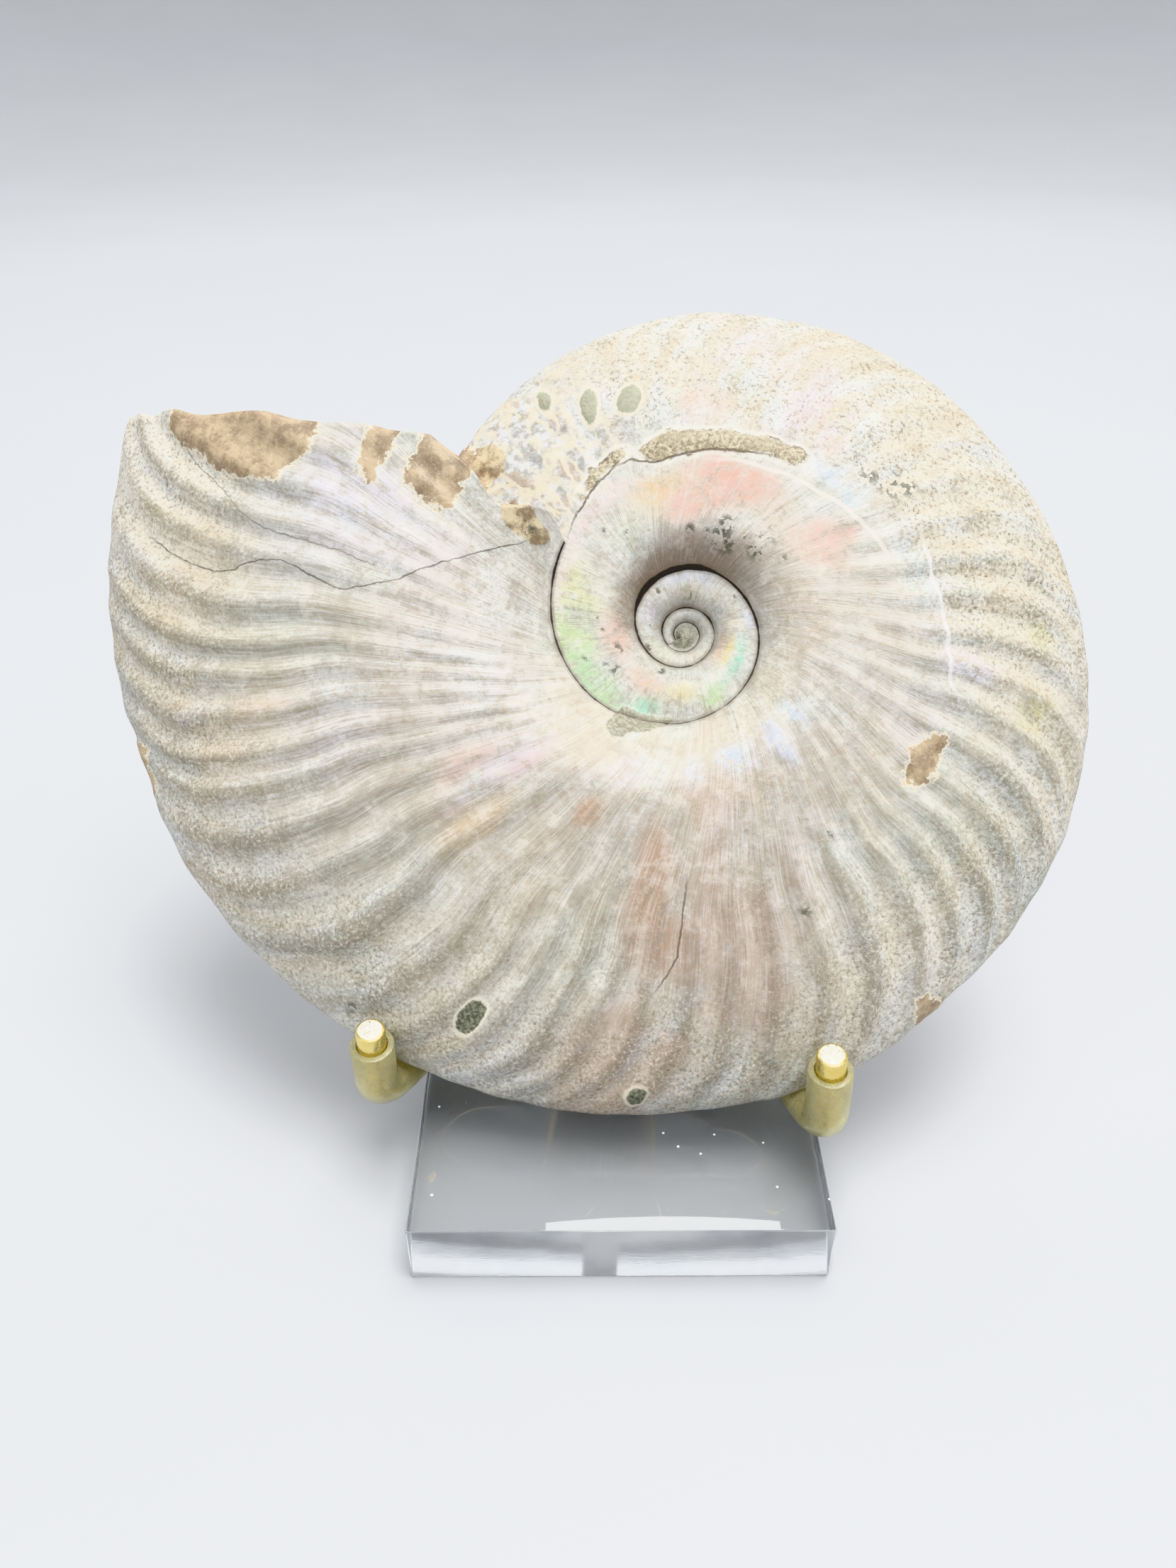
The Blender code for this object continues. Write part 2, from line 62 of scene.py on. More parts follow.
# Screw and hub
SCREW_HEAD_RADIUS = 0.0045
SCREW_HEAD_HEIGHT = 0.0035
SCREW_SOCKET_RADIUS = 0.0019
SCREW_SOCKET_DEPTH = 0.0018
SCREW_SHANK_RADIUS = 0.0026
SCREW_EDGE = 0.0003
SCREW_END_EDGE = 0.0004
THREAD_PITCH = 0.0005
THREAD_DEPTH = 0.0003
THREAD_START = 0.0004
THREAD_STOP = 0.0008
HUB_RADIUS = 0.009525
HUB_HEIGHT = 0.0127
HUB_EDGE = 0.0005
HUB_LOWER_EDGE = 0.0002
HUB_BLIND_HOLE = 0.0045

# Bent rods and their clear tubing
ROD_RADIUS = 0.003175
ROD_HEIGHT = 0.0218
ROD_SIDES = 32
ROD_EDGE = 0.0006
STAND_YAW = radians(-5.25)
FORK_SLIDE = 0.0016
FORK_HALF_WIDTH = 0.0306
ARM_SPLAY = radians(27.25)
LEFT_ARM_LENGTH = 0.0411
RIGHT_ARM_LENGTH = 0.0420
LEFT_PEG = Vector((0.045, -0.13, 1)) * 0.0232
RIGHT_PEG = Vector((-0.075, -0.09, 1)) * 0.0252
PEG_BEND = 0.0075
CORNER_BEND = 0.012
BEND_STEP = radians(5)
EASE_SHARE = 0.3
DRILL_EDGE = 1e-5
NEAR_CUT = 0.0005
REST_REACH = 0.0185
REST_LENGTH = 0.0464
REST_LEAN = radians(12)
REST_BEND = 0.010
SLEEVE_RADIUS = 0.0047625
SLEEVE_EDGE = 0.0003
PEG_BARE_END = 0.005
REST_BARE_END = 0.0015
PEG_SLEEVE_LENGTH = 0.046
REST_SLEEVE_LENGTH = 0.032

# Shell, as in the solid: growth angle runs clockwise from the notch
SHELL_CENTRE = FOOT_PLACE + Vector((0.0152, 0.0271, 0.1056))
SHELL_LEAN = radians(38)
SHELL_YAW = radians(-3.5)
NOTCH_ANGLE = radians(146.6)
GROWTH_RATE = 0.121
NOTCH_RADIUS = 0.0653
TIP_GROWTH = radians(346.5)
HALF_THICKNESS_AT_MOUTH = 0.0255
CORE_SEAM_SHARE = 0.35
SHOULDER_AT_NOTCH = 0.16
SHOULDER_AT_MOUTH = 0.24
FLANK_POWER = 2.1
VENTER_POWER = 0.76
WALL_POWER = 0.85
SEAM = (
    (-820, 1.9), (-460, 4.1), (-371, 5.2), (-255, 6.1), (-146, 7.4), (-62, 9.5), (0, 12.4), (56, 14.0),
    (116, 14.8), (180, 17.5), (244, 21.3), (293, 25.9), (360, 32.3),
)
VENTER_WEAR = (
    (0, 0), (43, 0.9), (75, 0.2), (120, -1.0), (150, 0), (185, 0.4), (199, -0.7), (213, 0.5), (235, -1.2),
    (260, -1.2), (285, -0.1), (304, 1.3), (311, 0.3), (318, 1.4), (340, 2.4), (350, 3.4),
)
ROWS_AT_NOTCH = (0, 0.05, 0.12, 0.21, 0.30, None, 0.55, 0.68, 0.80, 0.90, 0.97, 1)
ROWS_AT_MOUTH = (0, 0.07, 0.15, 0.23, None, 0.43, 0.56, 0.68, 0.80, 0.90, 0.97, 1)
BROKEN_EDGE = ((32.3, 360), (37.7, 364), (45.6, 356), (54, 359), (65.3, 360))
EVEN_GROOVES = 15
GROOVES = (
    122, 131, 139, 147, 154, 161.5, 169, 177, 183.5, 189.5, 196, 205, 212.5, 220, 227, 233.5, 240, 246, 251.5,
    257, 263, 270, 280.5, 288.5, 295.5, 302, 306.3, 311.5, 317, 321, 326.5, 333.5, 338.5, 344, 350, 356, 362,
    368, 374, 380,
)
DEEP_GROOVES = {169: 1.5, 205: 1.5, 280.5: 1.8, 321: 1.5}
RIB_HEIGHT = 0.0008
RIB_FADE_START = radians(60)
RIB_FADE_END = radians(140)
WORN_RIB_SHARE = 0.35
RIB_SWEEP = ((0, -15), (0.1, -11), (0.25, -5), (0.45, -0.5), (0.6, 0), (0.8, 2.5), (0.9, 5.5), (1, 11))
RIB_RELIEF = ((0, 0), (0.12, 0.04), (0.35, 0.25), (0.6, 0.85), (0.85, 1.0), (0.93, 0.6), (1, 0.15))
LATE_RIB_RELIEF = ((0, 0), (0.12, 0.12), (0.35, 0.5), (0.6, 0.95), (0.85, 1.1), (0.93, 0.75), (1, 0.28))

# Fine mesh of the shell
ROW_SPLIT = 5
SEAM_ROW = 5 * ROW_SPLIT
LAST_ROW = 11 * ROW_SPLIT
MAIN_COLUMNS = 560
INNER_COLUMNS = 300
FIRST_GROWTH = radians(-790)
MOUTH_STEPS = 12
SHELL_WALL = 0.0016
MOUTH_RECESS = 0.0022
SKIN = 0
MOUTH = 1
CORE = 2
CORE_RINGS = ((0.75, -0.0002), (0.5, 0.0003), (0.3, 0.0005))
CORE_TOP = 0.0006

# Camera, floor and light
CAMERA_PLACE = (-0.0010, -0.2163, 0.2293)
CAMERA_TURN = (radians(55.36), 0, radians(-0.23))
LENS = 27.1
SENSOR_WIDTH = 36
FLOOR_HEIGHT = -0.0003
FLOOR_FLAT = 1.6
FLOOR_SWEEP = 3.4
OBJECT_MIDDLE = (0, 0, 0.09)
# Name, place, what the light points at, width and depth, power in watts, and colour
LIGHTS = (
    ("key_light", (0.24, 0.0, 2.0), OBJECT_MIDDLE, (1.4, 1.0), 38.5, (1.0, 0.99, 0.97)),
    ("fill_light", (-1.3, -1.1, 1.7), OBJECT_MIDDLE, (1.8, 1.4), 13.0, (0.95, 0.97, 1.0)),
    ("side_light", (1.3, -0.7, 1.6), OBJECT_MIDDLE, (1.4, 1.4), 9.0, (1, 1, 1)),
    ("back_light", (0.0, 1.5, 1.8), (0, 0.3, 0.1), (3.0, 1.0), 17.0, (1, 1, 1)),
)
SKY_COLOUR = (0.93, 0.95, 0.98, 1)
SKY_STRENGTH = 0.72


# General helpers

def blend(low, high, share):
    return low + (high - low) * share


def ramp(value, start, end):
    share = np.clip((value - start) / (end - start), 0, 1)
    return share * share * (3 - 2 * share)


def curve_value(points, place):
    """Values at these places on a smooth curve through (place, value) points."""
    places, values = np.array(points, float).T
    slopes = np.empty_like(values)
    slopes[1:-1] = (values[2:] - values[:-2]) / (places[2:] - places[:-2])
    slopes[0] = (values[1] - values[0]) / (places[1] - places[0])
    slopes[-1] = (values[-1] - values[-2]) / (places[-1] - places[-2])
    index = np.clip(np.searchsorted(places, place, side="right") - 1, 0, len(places) - 2)
    width = places[index + 1] - places[index]
    share = np.clip((place - places[index]) / width, 0, 1)
    tangents = (1 - share) * slopes[index] - share * slopes[index + 1]
    even = blend(values[index], values[index + 1], share * share * (3 - 2 * share))
    return even + tangents * share * (1 - share) * width


def soft_noise(points, size, seed):
    """Smooth noise from -1 to 1 with features of this size, one value a point."""
    cells = 32
    table = np.random.default_rng(seed).uniform(-1, 1, (cells, cells, cells))
    scaled = points / size
    base = np.floor(scaled).astype(int)
    share = scaled - base
    share = share * share * (3 - 2 * share)
    total = np.zeros(len(points))
    for corner in product((0, 1), repeat=3):
        weight = np.prod(np.where(corner, share, 1 - share), axis=1)
        cell = (base + corner) % cells
        total += weight * table[cell[:, 0], cell[:, 1], cell[:, 2]]
    return total


# Shape of the coil

SEAM_CURVE = [(radians(angle), log(radius * 0.001)) for angle, radius in SEAM]
WEAR_CURVE = [(radians(angle), wear * 0.001) for angle, wear in VENTER_WEAR]
SWEEP_CURVE = [(place, radians(angle)) for place, angle in RIB_SWEEP]
EDGE_CURVE = [(radius * 0.001, radians(angle)) for radius, angle in BROKEN_EDGE]


def seam_radius(growth):
    return np.exp(curve_value(SEAM_CURVE, growth))


def venter_radius(growth):
    return NOTCH_RADIUS * np.exp(GROWTH_RATE * growth) + curve_value(WEAR_CURVE, growth)


def half_thickness(growth):
    return HALF_THICKNESS_AT_MOUTH * np.exp(GROWTH_RATE * (growth - TURN))


def flank_height(growth, radius, whorls_below=3):
    """How far the flank lies from the middle plane, for the whorl at this growth angle."""
    seam = seam_radius(growth)
    place = np.clip((radius - seam) / (venter_radius(growth) - seam), 0, 1)
    shoulder = blend(SHOULDER_AT_NOTCH, SHOULDER_AT_MOUTH, np.clip(growth / TURN, 0, 1))
    half = half_thickness(growth)
    outward = np.clip((place - shoulder) / (1 - shoulder), 0, 1)
    outer = half * (1 - outward ** FLANK_POWER) ** VENTER_POWER
    seam_height = CORE_SEAM_SHARE * half
    if whorls_below:
        seam_height = np.minimum(flank_height(growth - TURN, seam, whorls_below - 1), 0.85 * half)
    wall = blend(seam_height, half, np.sin(pi / 2 * np.clip(place / shoulder, 0, 1) ** WALL_POWER))
    return np.where(place >= shoulder, outer, wall)


def list_grooves():
    step = GROOVES[0] / EVEN_GROOVES
    angles = [step * index for index in range(-2, EVEN_GROOVES)] + list(GROOVES)
    return np.array([(radians(angle), DEEP_GROOVES.get(angle, 1)) for angle in angles])


def rib_wave(column, growth):
    """Ribs and grooves as a wave from about -1 to 1, fading where the first third is worn."""
    starts, depths = list_grooves().T
    index = np.clip(np.searchsorted(starts, column, side="right") - 1, 0, len(starts) - 2)
    share = (column - starts[index]) / (starts[index + 1] - starts[index])
    wave = -np.cos(TURN * share)
    depth = np.where(share < 0.5, depths[index], depths[index + 1])
    wave = np.where(wave < 0, wave * depth, wave)
    worn = blend(WORN_RIB_SHARE, 1, ramp(growth, RIB_FADE_START, RIB_FADE_END))
    return wave * worn * (growth >= 0)


def rib_column(growth, place):
    """Growth angle at which the rib through this point crosses mid-flank."""
    column = growth
    for _ in range(4):
        column = growth - curve_value(SWEEP_CURVE, place) * ramp(column, 0, RIB_FADE_START)
    return column


def mouth_growth(radius):
    """Growth angle of the mouth at this radius: a broken edge, then straight from the notch to the tip."""
    tip = venter_radius(TIP_GROWTH)
    low = np.full_like(radius, TIP_GROWTH)
    high = np.full_like(radius, TURN)
    for _ in range(HALVINGS):
        middle = (low + high) / 2
        shares = tip * np.sin(middle - TIP_GROWTH) + NOTCH_RADIUS * np.sin(TURN - middle)
        short = NOTCH_RADIUS * tip * sin(TURN - TIP_GROWTH) / shares < radius
        high = np.where(short, middle, high)
        low = np.where(short, low, middle)
    return np.where(radius <= NOTCH_RADIUS, curve_value(EDGE_CURVE, radius), (low + high) / 2)


def split_rows(shares, worked_out):
    filled = [worked_out if share is None else share for share in shares]
    return np.interp(np.arange(LAST_ROW + 1) / ROW_SPLIT, range(len(filled)), filled)


def rib_relief(growth, place):
    """How strong the ribs are here: they reach further in on the last third."""
    late = ramp(growth, radians(265), radians(300))
    faint = blend(0.6, 1, ramp(growth, radians(110), radians(150)))
    return faint * blend(curve_value(RIB_RELIEF, place), curve_value(LATE_RIB_RELIEF, place), late)


class Shell:
    """The front of the shell as points with their growth angle and place on the flank."""

    def __init__(self):
        seam_share = (seam_radius(TURN) - seam_radius(0)) / (venter_radius(0) - seam_radius(0))
        rim_share = (NOTCH_RADIUS - seam_radius(TURN)) / (venter_radius(TURN) - seam_radius(TURN))
        self.notch_shares = split_rows(ROWS_AT_NOTCH, seam_share)
        self.mouth_shares = split_rows(ROWS_AT_MOUTH, rim_share)
        self.points = []
        self.growth = []
        self.place = []
        self.part = []
        self.faces = []
        self.count = 0

    def place_of(self, rows, growth):
        """Radius of these rows, and their place on the flank from 0 at the seam to 1 at the venter."""
        seam = seam_radius(growth)
        width = venter_radius(growth) - seam
        share = self.notch_shares[rows] / self.notch_shares[SEAM_ROW]
        inner = blend(seam, seam_radius(growth + TURN), share)
        main = blend(self.notch_shares[rows], self.mouth_shares[rows], np.clip(growth / TURN, 0, 1))
        place = np.where(growth < 0, (inner - seam) / width, main)
        return seam + width * place, place

    def ends_of_rows(self):
        rows = np.arange(LAST_ROW + 1)
        growth = np.full(len(rows), TURN)
        for _ in range(HALVINGS):
            growth = blend(growth, mouth_growth(self.place_of(rows, growth)[0]), 0.5)
        return growth

    def add_grid(self, growth, radius, height, place):
        """Adds a grid of points of the skin and gives back their numbers."""
        angle = NOTCH_ANGLE - growth
        points = np.stack([radius * np.cos(angle), radius * np.sin(angle), height], axis=-1)
        made = self.add_points(points.reshape(-1, 3), growth.reshape(-1), place.reshape(-1), SKIN)
        return made.reshape(radius.shape)

    def add_points(self, points, growth, place, part):
        first = self.count
        self.points.append(np.array(points))
        self.growth.append(np.broadcast_to(growth, len(points)).astype(float))
        self.place.append(np.broadcast_to(place, len(points)).astype(float))
        self.part.append(np.full(len(points), part))
        self.count += len(points)
        return np.arange(first, self.count)

    def add_quads(self, grid):
        a, b, c, d = grid[:-1, :-1], grid[1:, :-1], grid[1:, 1:], grid[:-1, 1:]
        quads = np.stack([a, b, c, d], axis=-1).reshape(-1, 4)
        self.faces += [[corner for index, corner in enumerate(quad) if corner != quad[index - 1]]
                       for quad in quads.tolist()]

    def stitch(self, inner, outer):
        """Triangles between two lists of (key, vertex), advancing along whichever comes next."""
        i = j = 0
        while i < len(inner) - 1 or j < len(outer) - 1:
            if j == len(outer) - 1 or (i < len(inner) - 1 and inner[i + 1][0] <= outer[j + 1][0]):
                self.faces.append([inner[i][1], outer[j][1], inner[i + 1][1]])
                i += 1
            else:
                self.faces.append([inner[i][1], outer[j][1], outer[j + 1][1]])
                j += 1

    def build(self):
        rows = np.arange(LAST_ROW + 1)[:, None]
        inner_growth = np.linspace(FIRST_GROWTH, 0, INNER_COLUMNS)[None, :]
        radius, place = self.place_of(rows[:SEAM_ROW], inner_growth)
        growth = inner_growth + 0 * radius
        inner = self.add_grid(growth, radius, flank_height(growth, radius), place)

        ends = self.ends_of_rows()
        growth = ends[:, None] * np.linspace(0, 1, MAIN_COLUMNS + 1)[None, :]
        growth = np.maximum(growth, 1e-9)
        radius, place = self.place_of(rows, growth)
        height = flank_height(growth, radius)
        height[LAST_ROW] = 0
        main = self.add_grid(growth, radius, height, place)
        main[:SEAM_ROW, 0] = inner[:, -1]
        main[SEAM_ROW, 0] = main[0, -1]
        self.rim = main[:, -1]
        self.start = main[SEAM_ROW:, 0]
        self.add_quads(inner)
        self.add_quads(main)

        seam_line = [(growth - TURN, vertex) for growth, vertex in zip(inner_growth[0], inner[0])]
        seam_line += [(growth - TURN, vertex) for growth, vertex in zip(growth[0][1:], main[0][1:])]
        start = next(index for index, (key, _) in enumerate(seam_line) if key > FIRST_GROWTH)
        inside = list(zip(inner_growth[0], inner[SEAM_ROW - 1]))
        self.stitch(inside, seam_line[start:])
        ring = [vertex for _, vertex in seam_line[:start + 1]] + list(inner[::-1, 0])
        self.add_core(ring)
        self.add_mouth()

    def add_core(self, ring):
        """A small raised bead in the middle of the innermost whorl."""
        points = np.concatenate(self.points)[ring]
        middle = points.mean(axis=0)
        before = ring
        for share, lift in CORE_RINGS:
            placed = middle + (points - middle) * share + (0, 0, lift)
            after = self.add_points(placed, FIRST_GROWTH, 0.0, CORE)
            for index in range(len(ring)):
                following = (index + 1) % len(ring)
                if before[index] != before[following]:
                    self.faces.append([before[index], before[following], after[following], after[index]])
            before = list(after)
        core = self.add_points(middle[None, :] + (0, 0, CORE_TOP), FIRST_GROWTH, 0.0, CORE)[0]
        for first, second in zip(before, before[1:] + before[:1]):
            self.faces.append([first, second, core])

    def add_mouth(self):
        """The broken end of the last whorl: the edge of the shell wall, then its fill set back a little."""
        points = np.concatenate(self.points)
        rim = points[self.rim]
        radii = np.hypot(rim[:, 0], rim[:, 1])
        start = points[self.start]
        start_radii = np.hypot(start[:, 0], start[:, 1])
        floor = np.interp(radii, start_radii, start[:, 2], right=0)
        notch_row = int(np.argmin(abs(radii - NOTCH_RADIUS)))
        floor[notch_row:] = 0
        along = rim[LAST_ROW] - start[-1]
        along /= np.linalg.norm(along)
        into = np.array([-along[1], along[0], 0])
        depth = np.minimum(1, (rim[:, 2] - floor) / (4 * SHELL_WALL))
        columns = [self.rim]
        grown = np.concatenate(self.growth)[self.rim]
        placed = np.concatenate(self.place)[self.rim]
        for step in range(1, MOUTH_STEPS + 1):
            width = np.maximum(rim[:, 2] - floor, 0)
            wall = np.minimum(SHELL_WALL, width * 0.3)
            if step == 1:
                inward, sunk = wall, 0.0001
            else:
                inward = blend(wall, width, (step - 2) / (MOUTH_STEPS - 2))
                sunk = MOUTH_RECESS
            moved = rim.copy()
            moved[:, 2] -= inward
            ends = np.minimum(1, np.minimum(radii - radii[0], radii[-1] - radii) / 0.003)
            moved += into * (sunk * depth * ends)[:, None]
            if step == MOUTH_STEPS:
                moved[notch_row:, 2] = 0
            ids = self.add_points(moved, grown, placed, MOUTH)
            ids[0] = self.rim[0]
            ids[-1] = self.rim[-1]
            columns.append(ids)
        grid = np.array(columns)
        outer = grid[:, notch_row:]
        outer[-1, 0] = self.start[-1]
        self.add_quads(outer.T)
        self.add_quads(grid[:-1, :notch_row + 1].T)
        last = grid[-2, :notch_row + 1]
        inner_line = list(zip(radii[:notch_row + 1], last))
        start_line = list(zip(start_radii, self.start))
        inner_line[-1] = (inner_line[-1][0], last[-1])
        self.stitch(start_line, inner_line)


class Surface:
    """Finished arrays of the shell, with both sides joined along the middle plane."""

    def __init__(self, shell):
        self.front = np.concatenate(shell.points)
        growth = np.concatenate(shell.growth)
        place = np.concatenate(shell.place)
        part = np.concatenate(shell.part)
        count = len(self.front)
        flat = self.front[:, 2] == 0
        twins = np.where(flat, np.arange(count), np.arange(count) + count)
        points = np.concatenate([self.front, self.front * (1, 1, -1)])
        faces = shell.faces + [[int(twins[corner]) for corner in reversed(face)] for face in shell.faces]
        used = np.unique(np.concatenate([np.array(face) for face in faces]))
        number = np.full(2 * count, -1)
        number[used] = np.arange(len(used))
        self.points = points[used]
        self.faces = []
        for face in faces:
            made = [int(number[corner]) for corner in face]
            made = [corner for index, corner in enumerate(made) if corner != made[index - 1]]
            if len(set(made)) > 2:
                self.faces.append(made)
        self.growth = np.concatenate([growth, growth])[used]
        self.place = np.concatenate([place, place])[used]
        self.part = np.concatenate([part, part])[used]
        self.side = np.where(used >= count, -1.0, 1.0)
        self.side[points[used][:, 2] == 0] = 0


# Marks on the shell, each at growth angles in degrees and places on the flank; distances are clipped at 6 mm

MARK_REACH = 6
AMBER_PATCHES = (
    ((355, 0.86), (346.2, 0.85), (344.9, 0.82), (344.7, 0.765), (343.1, 0.714), (342.7, 0.663),
     (343.7, 0.605), (344.0, 0.572), (345.3, 0.563), (347.1, 0.543), (349.0, 0.52), (358, 0.52)),
    ((362, 0.425), (349.9, 0.411), (347.7, 0.387), (347.9, 0.366), (350.2, 0.371), (362, 0.36)),
    ((366, 0.322), (350.6, 0.316), (348.9, 0.268), (348.1, 0.228), (349.5, 0.212), (353.2, 0.202),
     (366, 0.215)),
    ((169.2, 0.549), (170.7, 0.505), (175.6, 0.473), (182.1, 0.500), (180.3, 0.546), (175.1, 0.551),
     (171, 0.557)),
    ((315, 1.01), (312.5, 0.982), (309.5, 0.985), (307, 1.01)),
    ((204.5, 1.01), (203.1, 0.935), (201.5, 0.94), (200, 1.01)),
)
OLD_SEAM_STRIPS = (
    ((39, 0.440), (44.1, 0.470), (49.4, 0.482), (59.7, 0.474), (67, 0.470), (75.1, 0.468), (87.2, 0.486),
     (90.5, 0.470), (90, 0.428), (80.5, 0.421), (71.4, 0.405), (61.8, 0.400), (52.8, 0.393),
     (44.1, 0.385)),
    ((16, 0.412), (20, 0.420), (25, 0.434), (30, 0.446), (35, 0.448), (37, 0.472), (33, 0.490),
     (28, 0.474), (24, 0.478), (20, 0.452), (16, 0.446)),
)
GREY_CHIP = (
    (273.5, -0.02), (273, 0.045), (268, 0.062), (264.5, 0.055), (261.8, 0.035), (256, 0.028),
    (249, 0.010), (243, -0.01), (258, -0.02),
)
BROKEN_BLOCK = (
    (355.6, 0.125), (359, 0.14), (362, 0.13), (360, 0.05), (357, 0.025), (353, 0.03), (350.9, 0.075),
    (351.9, 0.11),
)
BROWN_PATCH = ((4, 0.93), (2, 0.80), (5, 0.76), (9.5, 0.80), (10, 0.90), (7, 0.95))
# Dark ovals: growth angle, place, half width and half length in millimetres, turn from upright in degrees
OVALS = (
    (23.7, 0.850, 1.5, 3.1, -18), (31.7, 0.710, 1.9, 4.4, -8), (41.0, 0.660, 2.7, 3.6, 5),
    (263.5, 0.810, 2.5, 4.4, 32), (240.7, 0.938, 2.0, 2.4, 45),
)
CRACKS = (
    ((346, 0.84), (344.8, 0.804), (343.2, 0.773), (341.5, 0.708), (338.6, 0.639), (337.1, 0.583),
     (336.6, 0.518), (336.1, 0.467), (335.7, 0.418), (334.6, 0.375), (333.7, 0.332)),
    ((353, 0.05), (345.2, 0.111), (338.7, 0.182), (335.2, 0.244), (332.8, 0.285), (331.1, 0.333),
     (330.1, 0.375), (329.2, 0.418), (330.4, 0.454), (331.7, 0.491), (332.9, 0.528), (333.1, 0.567),
     (332.5, 0.619), (331.3, 0.659), (331.2, 0.700), (331.8, 0.749), (333, 0.809), (335.2, 0.883)),
    ((234.7, 0.375), (235.7, 0.487), (236.4, 0.580), (238.3, 0.635), (240.1, 0.676)),
)
TRACES = (
    ((-2, 0.36), (8, 0.392), (19.9, 0.410), (29.7, 0.433), (36.3, 0.433), (44.1, 0.384), (52.8, 0.392),
     (61.8, 0.399), (71.4, 0.404), (80.5, 0.418), (86, 0.424)),
    ((60, 0.366), (71.9, 0.373), (90, 0.383), (106.6, 0.408), (116.9, 0.423), (126.2, 0.436), (131, 0.47)),
    ((121, 0.575), (125.6, 0.558), (136, 0.532), (142.4, 0.534), (149.7, 0.535), (157.8, 0.543),
     (162.5, 0.583)),
)
# Clusters of small dark specks: growth angle, place, and reach in millimetres
SPECKS = (
    (57.2, 0.114, 1.2), (76.3, 0.139, 2.2), (76, 0.100, 2.6), (81, 0.085, 2.2), (97, 0.196, 1.0),
    (98.2, 0.127, 3.0), (88, 0.117, 0.9), (13.7, 0.265, 0.9), (22.5, 0.192, 0.7), (67.2, 0.103, 0.9),
    (111, 0.152, 0.9), (105.3, 0.540, 2.4), (110.3, 0.575, 3.6), (113, 0.62, 2.2), (127.4, 0.647, 1.0),
    (137.2, 0.853, 1.2), (219, 0.304, 1.0), (209.3, 0.480, 1.0), (213, 0.55, 1.4), (276.2, 0.93, 1.1),
    (-52, 0.12, 1.3), (-30, 0.17, 0.8), (355, 0.06, 1.6), (-66, 0.18, 1.2), (-52, 0.266, 0.7),
    (-55, 0.220, 0.7), (-61, 0.203, 0.7), (-70, 0.19, 0.8), (-36.5, 0.15, 0.6), (-55.5, 0.11, 0.7),
    (201.3, 0.44, 0.7), (276, 0.95, 1.0), (-300, 0.08, 1.0), (-250, 0.2, 0.8), (-340, 0.2, 0.9),
    (-420, 0.2, 1.2), (-455, 0.3, 1.0), (-380, 0.1, 0.9),
)
# Ground colours: growth angle, place, reach in degrees and in place, strength, and colour
GROUNDS = (
    (225, 0.30, 120, 0.24, 0.6, (174, 170, 158)), (320, 0.62, 50, 0.40, 0.4, (180, 176, 162)),
    (120, 0.80, 55, 0.30, 0.9, (218, 211, 194)), (60, 0.85, 30, 0.22, 0.7, (214, 208, 194)),
    (18, 0.56, 13, 0.22, 0.9, (186, 186, 186)), (30, 0.90, 16, 0.10, 0.6, (205, 192, 168)),
    (150, 0.35, 45, 0.18, 0.8, (190, 188, 178)), (185, 0.60, 20, 0.25, 0.7, (186, 188, 174)),
    (205, 0.75, 12, 0.25, 0.6, (200, 192, 176)), (225, 0.55, 14, 0.32, 0.9, (188, 174, 162)),
    (243, 0.45, 6, 0.25, 0.9, (180, 152, 130)), (243, 0.85, 12, 0.18, 0.8, (194, 176, 158)),
    (254, 0.55, 7, 0.25, 0.7, (184, 184, 168)), (262, 0.25, 3.5, 0.05, 1.0, (178, 146, 118)),
    (268, 0.60, 8, 0.30, 0.6, (192, 180, 158)), (280, 0.36, 5, 0.14, 0.8, (196, 176, 142)),
    (274.3, 0.27, 1.6, 0.025, 1.0, (140, 150, 118)), (285, 0.75, 10, 0.25, 0.5, (182, 178, 162)),
    (300, 0.70, 9, 0.30, 0.6, (176, 170, 158)), (315, 0.75, 10, 0.20, 0.7, (206, 186, 160)),
    (322, 0.60, 6, 0.25, 0.6, (176, 178, 164)), (333, 0.80, 8, 0.20, 0.7, (208, 190, 160)),
    (310, 0.25, 40, 0.10, 0.9, (212, 209, 202)), (340, 0.45, 8, 0.20, 0.8, (208, 206, 208)),
    # The two brown zones beside the seam, at places 0.05 and 0.03, are partly the wall's own brown and partly
    # painted shade on the umbilical wall
    (345, 0.25, 10, 0.12, 0.7, (214, 210, 204)), (0, 0.05, 60, 0.06, 0.8, (158, 138, 118)),
    (60, 0.03, 60, 0.07, 1.0, (140, 118, 100)), (130, 0.10, 35, 0.08, 0.7, (186, 172, 152)),
    (146, 0.84, 3, 0.05, 0.7, (196, 188, 120)), (159, 0.81, 4, 0.06, 0.7, (198, 188, 130)),
    (220, 0.22, 20, 0.07, 0.5, (196, 172, 150)), (200, 0.06, 60, 0.07, 0.6, (206, 194, 170)),
    (265, 0.08, 30, 0.07, 0.7, (208, 198, 176)), (341, 0.86, 9, 0.22, 0.6, (234, 228, 214)),
)
